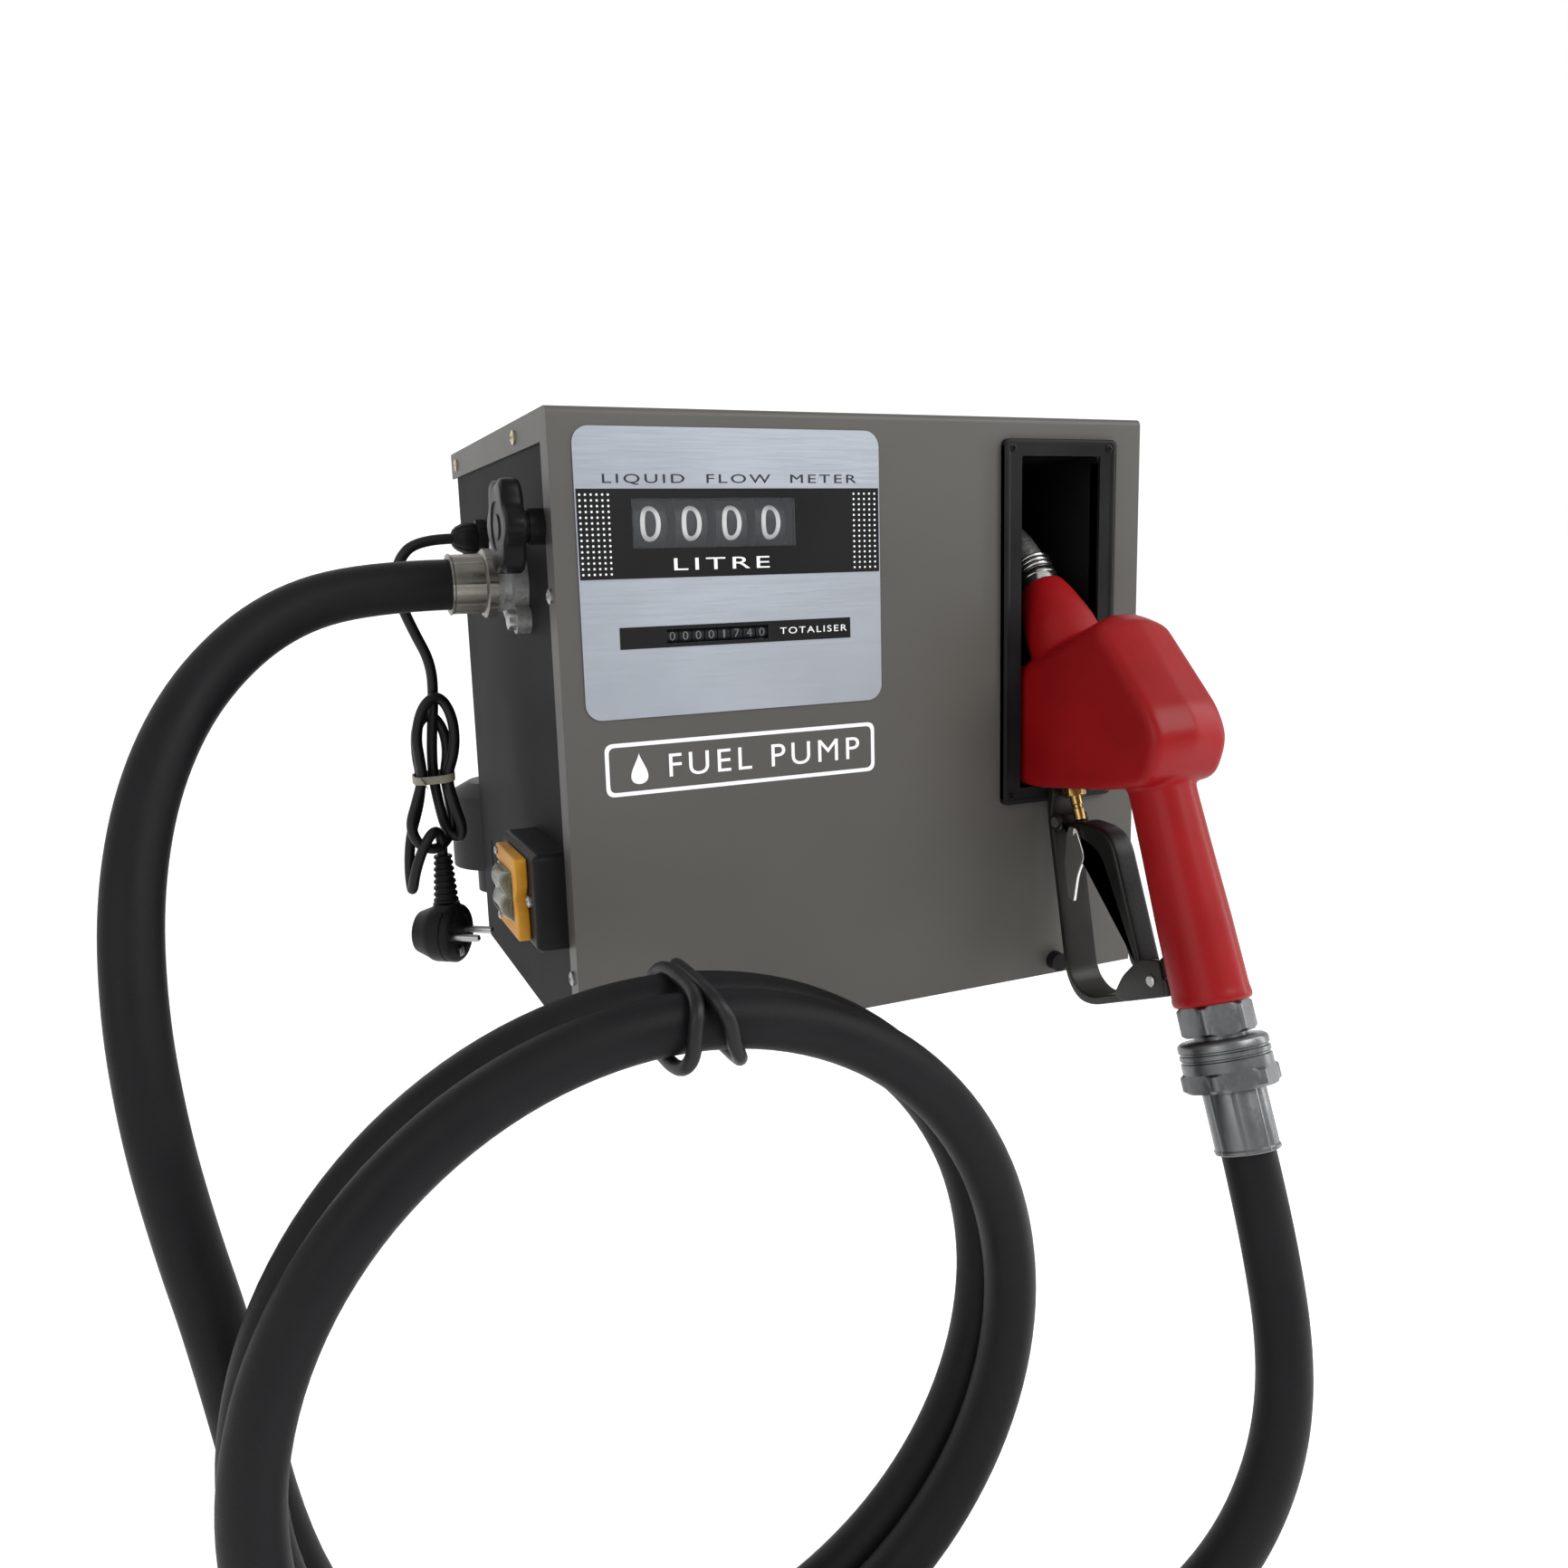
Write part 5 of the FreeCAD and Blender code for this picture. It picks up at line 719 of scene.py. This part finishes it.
spout_table = np.concatenate([sweep_table(spout_line, 10.5), sweep_table(spout_line, 9.0)[::-1]])
spout = grid_piece("spout_tube", spout_table, wrap_rows=True)
attach(spout, "nozzle", cast_alloy, "cast_aluminium", "spout")
ring_section = circle(1.1, 12)
collar = turned("collar", [(10.6, -2), (12.2, -2), (12.5, 1), (12.5, 3), (12.0, 3.4), (12.0, 4.6),
        (12.5, 5), (12.5, 8), (11.9, 9), (10.6, 9)], neck, HEADING, ring=True)
rings = [turned(f"ring_{number}", ring_section + [11.5, 0], collar_end + HEADING * (2.2 + 3.2 * number),
        HEADING, ring=True) for number in range(3)]
attach(joined("spout_rings", [collar] + rings), "nozzle", bright_ring, "chrome", "spout_collar")

# %% [markdown]
# ### Guard, lever and clip
# The guard is a bent strip round the lever, joined to the head above and forked round the grip's end
# below. The lever pivots on a pin high in the guard and pushes the brass stem. The flat clip beside
# it holds the lever open. Each is an outline with thickness and rounded edges.

# %% Guard
guard_outline = rounded([
    (85, 42), (88, 42), (96.5, 21), (114, -79), (107.3, -94), (94, -99), (21, -99), (21, -88), (42, -93.5),
    (92, -94.5), (102.8, -89.5), (109.5, -79), (92, 21), (85, 33),
], [1, 2, 6, 10, 8, 8, 2, 4, 8, 8, 8, 8, 6, 1], 6)
guard_strip = slab("guard_strip", guard_outline, -11, 11, 0.9, place=on_nozzle)
fork_outline = rounded([(24, -99), (62, -99), (70, -94), (58, -84), (40, -76), (23, -78)], 4, 6)
forks = [slab(f"fork_{low}", fork_outline, low, low + 3.2, 0.8, place=on_nozzle) for low in (-11.4, 8.2)]
fork_pins = [turned(f"fork_pin_{side}", [(0, 0), (3.4, 0), (3.4, 0.8), (2.6, 1.5), (0, 1.5)],
        on_nozzle((side * 11.3, 33.0, -89.0)), (side, 0, 0), around=28) for side in (-1, 1)]
PIVOT = (90, 15)
lug_outline = circle(5.4, 40) + PIVOT
lugs = [slab(f"lug_{low}", lug_outline, low, low + 2.3, 0.5, place=on_nozzle) for low in (-10.9, 8.6)]
attach(joined("guard_frame", [guard_strip] + forks + lugs), "nozzle", guard_paint, "guard_black",
    "lever_guard")
attach(joined("guard_rivets", fork_pins), "nozzle", plated_grey, "steel_plain")
pivot = turned("pivot_pin", [(0, -11.6), (3.3, -11.6), (3.3, -10.9), (2.2, -10.7), (2.2, 10.7), (3.3, 10.9),
        (3.3, 11.6), (0, 11.6)], on_nozzle((0, *PIVOT)), (1, 0, 0), around=28)
attach(pivot, "nozzle", plated_grey, "steel_plain", "lever_pin")

# %% Lever
lever_outline = rounded([
    (94.5, 13), (92, 10), (77, 3), (58, -12), (53, -78), (50, -82), (46, -82), (44, -79), (44, -8), (50, 2),
    (71, 11.7), (84, 11.7), (87, 19.5), (93, 19),
], [1.5, 2, 6, 8, 2, 2, 2, 2, 8, 6, 6, 3, 2, 1.5], 6)
lever = slab("hand_lever_bar", lever_outline, -8, 8, 2.4, place=on_nozzle)
attach(lever, "hand_lever", lever_paint, "lever_black", "lever")

# %% Clip, its spring, and the stem
clip_outline = rounded([(72, 8.5), (80.5, 8.5), (91, -11.5), (95, -31.5), (90, -35.5), (80, -19.7),
        (69.5, -11)], [3, 3, 4, 2, 1.5, 6, 5], 6)
clip_plate = slab("clip_plate", clip_outline, -10.3, -8.4, 0.5, place=on_nozzle)
CLIP_PIN = (76, 6.5)
SPRING_RADIUS = 3.4
clip_axle = turned("clip_axle", [(0, -11.3), (2.6, -11.3), (2.6, -10.3), (1.6, -10.3), (1.6, 8.4),
        (2.4, 8.6), (2.4, 9.4), (0, 9.4)], on_nozzle((0, *CLIP_PIN)), (1, 0, 0), around=24)
coil_turn = np.linspace(0, 3.5 * TURN, 90)
spring_line = np.stack([8.6 + 0.28 * coil_turn / TURN * 2, CLIP_PIN[0] + SPRING_RADIUS * np.cos(coil_turn),
        CLIP_PIN[1] + SPRING_RADIUS * np.sin(coil_turn)], 1)
leg = np.stack([np.full(12, 10.5), np.linspace(72.6, 86, 12), np.linspace(6, -22, 12)], 1)
spring = swept("clip_spring", on_nozzle(np.vstack([spring_line, leg])), circle(0.45, 8),
    reference=(0.9, 0.3, 0.1))
attach(joined("clip_steel", [clip_plate, clip_axle, spring]), "clip", bright_ring, "steel_plain",
    "hold_open_clip")
STEM_FOOT = (0, 79, 0)
stem = turned("stem_rod", [(0, 12.3), (2.6, 12.3), (3.5, 13.2), (3.5, 20), (2.9, 20.6), (2.9, 22.4),
        (3.5, 23), (3.5, 50), (0, 50)], on_nozzle(STEM_FOOT), GRIP_AXIS, around=32)
attach(stem, "stem", machined_brass, "brass", "valve_stem")
packing_nut = turned("packing_nut", [(3.7, 28), (6.4, 28), (7.2, 28.8), (7.2, 36), (3.7, 36)],
    on_nozzle(STEM_FOOT), GRIP_AXIS, shape=hexagonal(12.6), ring=True)
attach(packing_nut, "nozzle", machined_brass, "brass")

# %% [markdown]
# ### Fittings at the grip's end
# Satin steel: a hexagon nipple, a swivel drum with grooves over a second hexagon, and a
# sleeve crimped on the hose. Hexagons are turned shapes whose radius is cut off at six flats; the
# crimped sleeve has eight fine seams left by the press.


# %% Fittings
def crimped(radius, height, angle):
    """Eight seams: the radius rises in a narrow ridge at each joint of the press's jaws."""
    seam = np.abs((angle / TURN * 8 + 0.5) % 1 - 0.5)
    return radius * (1 + 0.022 * np.exp(-(seam / 0.045) ** 2) - 0.006 * np.cos(angle * 8))


def nozzle_fitting(name, outline, **how):
    """A turned piece on the grip's axis, its heights given in the nozzle's frame."""
    return turned(name, outline, GRIP_ORIGIN, GRIP_AXIS, **how)


nipple = nozzle_fitting("nipple", [(12, -124.5), (14, -124.5), (14, -122), (18.4, -122), (20.4, -120.6),
        (20.4, -107.4), (18.6, -106), (12, -106)], shape=hexagonal(36), ring=True, around=96)
attach(nipple, "nozzle", satin_steel, "steel_yellow", "hex_nipple")
drum = nozzle_fitting("drum", [
    (14.2, -124.3), (21.6, -124.3), (23.4, -125.4), (24, -126.6), (24, -129.6), (23.2, -130.1),
    (23.2, -130.9), (24, -131.4), (24, -133.6), (23.2, -134.1), (23.2, -134.9), (24, -135.4), (24, -141),
    (14.2, -141),
], ring=True, around=96)
swivel_hex = nozzle_fitting("swivel_hex", [(14.2, -140.8), (24.2, -140.8), (26.2, -142), (26.2, -149.2),
        (23.6, -151), (14.2, -151)], shape=hexagonal(46.5), ring=True, around=96)
sleeve = nozzle_fitting("sleeve", [(14.35, -151.2), (16.2, -151.2), (16.5, -152.5), (16.5, -181.6),
        (17.1, -182.4), (17.1, -183.8), (16.6, -184.4), (14.35, -184.4)], shape=crimped, ring=True,
    around=192)
attach(joined("swivel_drum", [drum, swivel_hex]), "swivel", satin_steel, "steel_yellow", "swivel_body")
attach(sleeve, "swivel", satin_steel, "steel_yellow", "hose_ferrule")

# %% Outlet sleeve and flange bolts on the left side
outlet_sleeve = turned("outlet_sleeve", [(14.4, 0), (19.5, 0), (19.5, 5.2), (18.6, 6), (16.6, 6.4),
        (16.5, 23.2), (17.0, 23.8), (17.0, 25), (14.4, 25)], (-202, *PORT), (-1, 0, 0), shape=crimped,
    ring=True, around=192)
attach(outlet_sleeve, "cabinet", plated_yellow, "steel_yellow", "outlet_ferrule")
bolt_places = [(-64.7, 240.4), (-30.3, 281.6)]
bolts = [turned(f"flange_bolt_{y}", [(0, 0), (6.2, 0), (6.2, 3.4), (5.4, 4.2), (0, 4.2)], (-194, y, z),
        (-1, 0, 0), shape=hexagonal(10.4), around=48) for y, z in bolt_places]
attach(joined("flange_bolt_heads", bolts), "cabinet", plated_grey, "steel_plain", "flange_bolts")

# %% [markdown]
# ## The reset knob
# A moulded knob with six lobes, turned to set the counter back to zero. Its radius swells and falls
# six times round: r = r0 (1 + 0.105 cos 6a), faded out towards the flat hub.

# %% Knob
KNOB_AXLE = (-115.5, 290.5)


def lobed(radius, height, angle):
    """Six lobes on the rim, none near the middle."""
    return radius * (1 + 0.105 * np.cos(6 * angle) * np.clip((radius - 13) / 6, 0, 1))


knob_disc = turned("knob_disc", [(0, -4), (8.5, -4), (8.5, -0.2), (20.6, 0.2), (22.8, 1), (24.2, 2.6),
        (24.4, 4), (24.4, 9), (24, 10.6), (22.4, 11.7), (20.4, 12), (13.5, 12), (12.6, 11.2), (7, 11.2),
        (6.4, 12), (0, 12)], (-199.5, *KNOB_AXLE), (-1, 0, 0), shape=lobed, around=144)
knob_rod = turned("knob_rod", [(0, 0), (3, 0), (3, 52), (0, 52)], (-199, *KNOB_AXLE), (1, 0, 0), around=24)
attach(joined("reset_knob_lobed", [knob_disc, knob_rod]), "knob", gloss_black, "knob_black", "reset_knob")

# %% [markdown]
# ## Cable gland, switch and screws
# The gland is a hexagon body with a ribbed dome nut. The switch has a yellow frame that is open to
# the back, over which a smoky film bulges. Pan-head screws have a cross recess, made by lowering the
# dome where the angle and radius fall inside the cross.


# %% Gland
def ribbed(radius, height, angle):
    """Twelve shallow ribs round the nut."""
    return radius * (1 + 0.025 * np.tanh(3 * np.cos(12 * angle)))


GLAND = (-186.1, 49.5, 289)
gland_hex = turned("gland_hex", [(3.6, 0), (11.4, 0), (12, 0.8), (12, 5.4), (11.2, 6), (3.6, 6)], GLAND,
    (-1, 0, 0), shape=hexagonal(20.6), ring=True, around=72)
gland_nut = turned("gland_nut", [(3.6, 6.2), (9.2, 6.2), (9.5, 7), (9.5, 13.5), (9.0, 15.2), (7.4, 18.6),
        (5.4, 20.8), (4.2, 21.4), (3.6, 21.4)], GLAND, (-1, 0, 0), shape=ribbed, ring=True, around=144)
attach(joined("gland_nut_and_body", [gland_hex, gland_nut]), "cabinet", moulded_black, "plastic_black",
    "cable_gland")

# %% Switch frame and film
bezel_outline = rounded([
    (-107.5, 64), (-55.5, 64), (-55.5, 73.5), (-64, 73.5), (-66.5, 75.5), (-95.5, 75.5), (-95.5, 99.5),
    (-66.5, 99.5), (-64, 101.5), (-55.5, 101.5), (-55.5, 111), (-107.5, 111), (-107.5, 95), (-102.5, 87.5),
    (-107.5, 80),
], [2, 2, 2, 1, 2, 1, 1, 2, 1, 2, 2, 2, 2, 1, 2], 5)
bezel = slab("switch_frame", bezel_outline, -212, -205, 1.0)
attach(bezel, "cabinet", yellow_plastic, "bezel_yellow", "switch_bezel")
film_u, film_v = np.meshgrid(np.linspace(-1, 1, 28), np.linspace(-1, 1, 28), indexing="ij")
bulge = (1 - film_u ** 6) * (1 - film_v ** 6)
pinch = 1 - 0.35 * np.exp(-(film_v / 0.25) ** 2)
film_table = np.stack([-211.4 - 6.4 * bulge * pinch, -79.5 + 18.5 * film_u, 87.5 + 14.6 * film_v], -1)
film = grid_piece("switch_film", film_table, wrap_columns=False, capped=False)
thickness = film.modifiers.new("film", "SOLIDIFY")
thickness.thickness = 0.8 * MM
thickness.offset = 0
attach(film, "cabinet", smoky_film, "membrane", "switch_cover")


# %% Screws
def pan_head(name, centre, axis, radius=4.0, high=2.2):
    """A domed head with a cross recess: height = dome(r) - depth inside either arm of the cross."""
    reach = np.concatenate([np.linspace(0.02, 0.66, 12), [0.76, 0.86, 0.95, 1.0, 1.0]])
    dome = high * np.sqrt(np.maximum(1 - (reach * 0.86) ** 2.4, 0))
    dome[-1] = 0
    angle = np.linspace(0, TURN, 48, endpoint=False)
    flat_x = reach[:, None] * np.cos(angle) * radius
    flat_y = reach[:, None] * np.sin(angle) * radius
    arm = np.minimum(np.abs(flat_x), np.abs(flat_y))
    inside = np.clip((0.2 * radius - arm) / 0.25, 0, 1) * (reach[:, None] < 0.6)
    height = dome[:, None] - 0.55 * high * inside
    axis, first, second = axes_for(axis)
    parts = ((flat_x, first), (flat_y, second), (height, axis))
    return grid_piece(name, np.asarray(centre, float) + sum(part[..., None] * way for part, way in parts))


SIDE_X = 187.5
side_places = [(-127.5, 254), (-127.5, 45), (-62.5, 341), (127.5, 341)]
silver = [pan_head(f"lip_screw_{side}_{number}", (side * SIDE_X, *side_places[number]), (side, 0, 0))
    for side in (-1, 1) for number in (0, 1)]
silver += [pan_head(f"frame_screw_{z}", (-212, -59.5, z), (-1, 0, 0), 2.4, 1.9) for z in (68, 107)]
silver.append(pan_head("box_screw", (-205, -110.8, 87.5), (-1, 0, 0), 3.4, 2.4))
attach(joined("silver_screws", silver), "cabinet", plated_grey, "steel_plain", "small_screws")
golden = [pan_head(f"top_screw_{side}_{number}", (side * SIDE_X, *side_places[number]), (side, 0, 0))
    for side in (-1, 1) for number in (2, 3)]
attach(joined("zinc_screws", golden), "cabinet", zinc_screw, "steel_yellow")

# %% [markdown]
# ## The holster's rim
# The moulded rim stands 4 mm off the cabinet. Its section steps from the outer outline to the inner
# one: each row of points is a blend of the two outlines at its own depth.

# %% Rim
rim_outer = rounded(box_outline(84.8, 166.4, 116, 337), 4, 8)
rim_inner = rounded(box_outline(97.0, 154.2, 126, 327), 4, 8)
rim_section = np.array([(0, -137.3), (0, -140.9), (0.05, -141.6), (0.14, -141.9), (0.30, -141.9),
        (0.38, -141.2), (0.80, -140.9), (0.92, -140.5), (1.0, -139.4), (1.0, -132), (0.9, -132),
        (0.9, -137.3)])
blend_part, rim_depth = rim_section[:, :1, None], rim_section[:, 1]
rim_flat = (1 - blend_part) * rim_outer[None] + blend_part * rim_inner[None]
rim_table = np.stack([rim_flat[..., 0], np.broadcast_to(rim_depth[:, None], rim_flat.shape[:2]),
        rim_flat[..., 1]], -1)
rim = grid_piece("holster_rim", rim_table, wrap_rows=True)
attach(rim, "cabinet", moulded_black, "plastic_black")
rim_screws = [pan_head(f"rim_screw_{x}_{z}", (x, -141.3, z), (0, -1, 0), 2.4, 1.0) for x in (90.5, 160.7)
    for z in (121.5, 331.5)]
attach(joined("rim_screws", rim_screws), "cabinet", gloss_black, "plastic_black")


# %% [markdown]
# ## The counter's face
# Printed words are generic: a unit and the names of the two counters. Lettering is made from the
# built-in font as a mesh, stretched to its own box and laid on the plate.

# %% Lettering and dots
def letter_points(words, deep):
    """The built-in font as points (right, up, out), and its faces."""
    text = bpy.data.curves.new("letters", "FONT")
    text.body = words
    text.extrude = 0.5
    text.space_character = 1.25
    text.resolution_u = 5
    holder = bpy.data.objects.new("letters", text)
    bpy.context.scene.collection.objects.link(holder)
    bpy.context.view_layer.update()
    points, faces = taken_from(holder)
    low, high = points.min(0), points.max(0)
    return (points - low) / (high - low) * [1, 1, deep], faces


def lettering(name, words, left, right_side, low, high, front, deep=0.16):
    """Words in a box on an upright face that looks to -Y."""
    points, faces = letter_points(words, deep)
    placed = np.stack([left + points[:, 0] * (right_side - left), front - points[:, 2],
            low + points[:, 1] * (high - low)], 1)
    return finish_mesh(name, placed, faces, 30)


PLATE_FACE = -138.3
BAND_FACE = -138.7
title = lettering("title_letters", "LIQUID  FLOW  METER", -159.9, -12.5, 310.4, 315.9, PLATE_FACE)
attach(title, "cabinet", print_ink, "printed_film")
unit_word = lettering("unit_word", "LITRE", -122.8, -67.2, 265.8, 272.1, BAND_FACE)
sum_word = lettering("sum_word", "TOTALISER", -62.0, -20.4, 229.0, 232.6, BAND_FACE)
attach(joined("white_words", [unit_word, sum_word]), "cabinet", print_white, "printed_film")
DOT_SIDES = 8
dot = circle(0.62, DOT_SIDES)


def dot_grid(name, left, right_side, columns):
    """A grid of flat printed dots, each a short drum, as one mesh from arrays."""
    x, z = np.meshgrid(np.linspace(left, right_side, columns), np.linspace(264.6, 305.4, 15), indexing="ij")
    centres = np.stack([x.ravel(), z.ravel()], 1)
    flat = centres[:, None] + dot[None]
    rings = [np.insert(flat, 1, BAND_FACE + deep, -1) for deep in (-0.12, 0.02)]
    points = np.concatenate(rings, 1)
    starts = np.arange(len(centres)) * 2 * DOT_SIDES
    step = np.arange(DOT_SIDES)
    caps = np.concatenate([starts[:, None] + step, starts[:, None] + 2 * DOT_SIDES - 1 - step])
    after = (step + 1) % DOT_SIDES
    walls = np.stack([step, after, after + DOT_SIDES, step + DOT_SIDES], 1)
    walls = (starts[:, None, None] + walls[None]).reshape(-1, 4)
    return finish_mesh(name, points, caps.tolist() + walls.tolist(), 30)


dots = [dot_grid("dots_left", -172.6, -157.4, 6), dot_grid("dots_right", -14.6, -1.4, 5)]
attach(joined("plate_dots", dots), "cabinet", print_white, "printed_film")


# %% Numbers round the wheels
def wheel_number(name, digit, centre_x, width, height, radius, axle, place_angle=0):
    """A digit bent round a wheel: the angle is its height over the radius. A 1 is a third as wide."""
    points, faces = letter_points(digit, 0.25)
    width = width * 0.35 if digit == "1" else width
    shell = bmesh.new()
    for point in points:
        shell.verts.new(point)
    shell.verts.ensure_lookup_table()
    for face in faces:
        shell.faces.new([shell.verts[index] for index in face])
    for level_cut in np.linspace(0.06, 0.94, 15):
        bmesh.ops.bisect_plane(shell, geom=shell.verts[:] + shell.edges[:] + shell.faces[:],
            plane_co=(0, level_cut, 0), plane_no=(0, 1, 0))
    flat = np.array([v.co[:] for v in shell.verts])
    shell.verts.index_update()
    faces = [[v.index for v in face.verts] for face in shell.faces]
    shell.free()
    angle = (flat[:, 1] - 0.5) * height / radius + place_angle
    reach = radius + flat[:, 2]
    x = centre_x + (flat[:, 0] - 0.5) * width
    points = np.stack([x, axle[0] - reach * np.cos(angle), axle[1] + reach * np.sin(angle)], 1)
    return finish_mesh(name, points, faces, 30)


WHEEL_X = (-133.0, -109.7, -86.4, -63.1)
WHEEL_DIGIT = {"width": 11.5, "height": 19.5, "radius": 17.05, "axle": KNOB_AXLE}
TOTAL_DIGIT = {"width": 3.2, "height": 4.6, "radius": 6.03, "axle": (-130.5, 230.75)}
for number, wheel_x in enumerate(WHEEL_X, 1):
    digits = [wheel_number(f"digit_{number}_{k}", str(k), wheel_x, place_angle=k * TURN / 4, **WHEEL_DIGIT)
        for k in range(4)]
    attach(joined(f"wheel_{number}_digits", digits), f"wheel_{number}", digit_cream, "wheel_black")
total_x = -124.75 + 7.5 * np.arange(8)
TOTAL_SHOWN = (0, 0, 0, 0, 1, 7, 4)
small = [wheel_number(f"small_{k}", str(TOTAL_SHOWN[k]), total_x[k], **TOTAL_DIGIT) for k in range(7)]
attach(joined("total_digits", small), "cabinet", digit_dim, "wheel_black")
unit_digits = [wheel_number(f"small_unit_{k}", str(k), total_x[7], place_angle=k * TURN / 6, **TOTAL_DIGIT)
    for k in range(6)]
attach(joined("total_unit_digits", unit_digits), "total_units", digit_dim, "wheel_black")


# %% [markdown]
# ## The label
# A plain label under the counter: a rounded frame with a drop and one everyday word. The drop's
# outline is x = a sin t sin^2(t/2), z = b cos t.

# %% Label
def frame_ring(name, outer, inner, low, high):
    """A flat ring between two outlines with the same count of points, facing -Y."""
    rows = [(outer, low), (outer, high), (inner, high), (inner, low)]
    table = np.stack([np.insert(flat, 1, depth, -1) for flat, depth in rows])
    return grid_piece(name, table, wrap_rows=True)


label_outer = rounded(box_outline(-166, -3, 146, 175), 5, 8)
label_inner = rounded(box_outline(-163.8, -5.2, 148.2, 172.8), 3.6, 8)
COVER_FACE = -137.5
label_frame = frame_ring("label_frame", label_outer, label_inner, COVER_FACE - 0.18, COVER_FACE + 0.02)
drop_turn = np.linspace(0, TURN, 60, endpoint=False)
drop_outline = np.stack([-147 + 7.4 * np.sin(drop_turn) * np.sin(drop_turn / 2) ** 2,
        160.5 + 8.6 * np.cos(drop_turn)], 1)
drop = slab("label_drop", drop_outline, COVER_FACE - 0.18, COVER_FACE + 0.02, 0.04, "XZ", layers=3)
label_word = lettering("label_word", "FUEL PUMP", -130, -13, 154.2, 167.0, COVER_FACE, 0.18)
attach(joined("front_label", [label_frame, drop, label_word]), "cabinet", print_white, "printed_film")

# %% [markdown]
# ## Finishes on the engineering model's own parts
# Parts whose shape is already right keep it and only get their finish.

# %% Carried-over parts
carried = [
    (powder_grey, "front_cover"),
    (powder_dark, "chassis back_panel counter_frames motor_housing motor_covers"),
    (brushed_plate, "meter_plate"), (print_black, "printed_bands"), (clear_window, "counter_window"),
    (wheel_black, "number_wheel_1 number_wheel_2 number_wheel_3 number_wheel_4"),
    (wheel_black, "total_wheels total_units_wheel"),
    (plated_grey, "counter_axles pump_rotor motor_core fuel_pipes"),
    (moulded_black, "knob_boss motor_fan switch_box holster"),
    (cast_alloy, "meter_body meter_cover outlet_flange"), (white_moulding, "measuring_disc"),
    (cast_black, "pump_body pump_cover strainer_housing strainer_lid"), (gloss_black, "switch_rocker"),
    (black_rubber, "bumper"),
]
for material, nodes in carried:
    for node in nodes.split():
        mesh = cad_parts[node].data
        mesh.materials.clear()
        mesh.materials.append(material)
print(sum(len(nodes.split()) for _, nodes in carried), "carried-over parts finished")

# %% [markdown]
# ## Floor and light
# A plain pale floor that curves up into a backdrop, a pale world, and three soft lamps: a large one
# above and to the front right, a strip that draws the long highlights, and a weak one on the left.

# %% Stage
FLOOR = -0.346
FLOOR_GLOW = 0.42
WORLD_LIGHT = 0.6
CURVE = 1.5
floor_turn = np.linspace(0.1, math.pi / 2, 12)
floor_y = np.concatenate([np.linspace(-5, 2, 8), 2 + CURVE * np.sin(floor_turn), [3.5]])
floor_z = np.concatenate([np.zeros(8), CURVE - CURVE * np.cos(floor_turn), [5.0]])
floor_x = np.linspace(-6, 6, 9)
floor_table = np.stack([np.broadcast_to(floor_x, (len(floor_y), 9)), np.repeat(floor_y[:, None], 9, 1),
        np.repeat(floor_z[:, None] + FLOOR, 9, 1)], -1) / MM
floor = grid_piece("floor", floor_table, wrap_columns=False, capped=False)
floor_white = finish("floor_white", (0.88, 0.88, 0.89), (0.86, 0.86, 0.87), (0.7, 0.8), tone_scale=1,
    grain=40, grain_lift=0.0)
floor_glow = floor_white.node_tree.nodes["Principled BSDF"]
floor_glow.inputs["Emission Color"].default_value = (1, 1, 1, 1)
floor_glow.inputs["Emission Strength"].default_value = FLOOR_GLOW
floor.data.materials.append(floor_white)

world = bpy.data.worlds.new("studio")
world.use_nodes = True
sky = world.node_tree.nodes["Background"]
sky.inputs["Color"].default_value = (1, 1, 1, 1)
sky.inputs["Strength"].default_value = WORLD_LIGHT
bpy.context.scene.world = world
bpy.context.scene.view_settings.view_transform = "Standard"


def lamp(name, place, aim, width, height, power):
    """A soft rectangular lamp that looks at a point."""
    data = bpy.data.lights.new(name, "AREA")
    data.shape = "RECTANGLE"
    data.size, data.size_y = width, height
    data.energy = power
    light = bpy.data.objects.new(name, data)
    bpy.context.scene.collection.objects.link(light)
    light.location = place
    light.rotation_euler = (Vector(aim) - Vector(place)).to_track_quat("-Z", "Y").to_euler()


lamp("key", (0.9, -1.6, 1.5), (0, 0, 0.15), 1.2, 1.0, 26)
lamp("strip", (1.5, -0.6, 0.6), (0.1, -0.1, 0.15), 0.25, 1.4, 9)
lamp("fill", (-1.6, -1.2, 0.9), (0, 0, 0.1), 1.2, 1.2, 9)
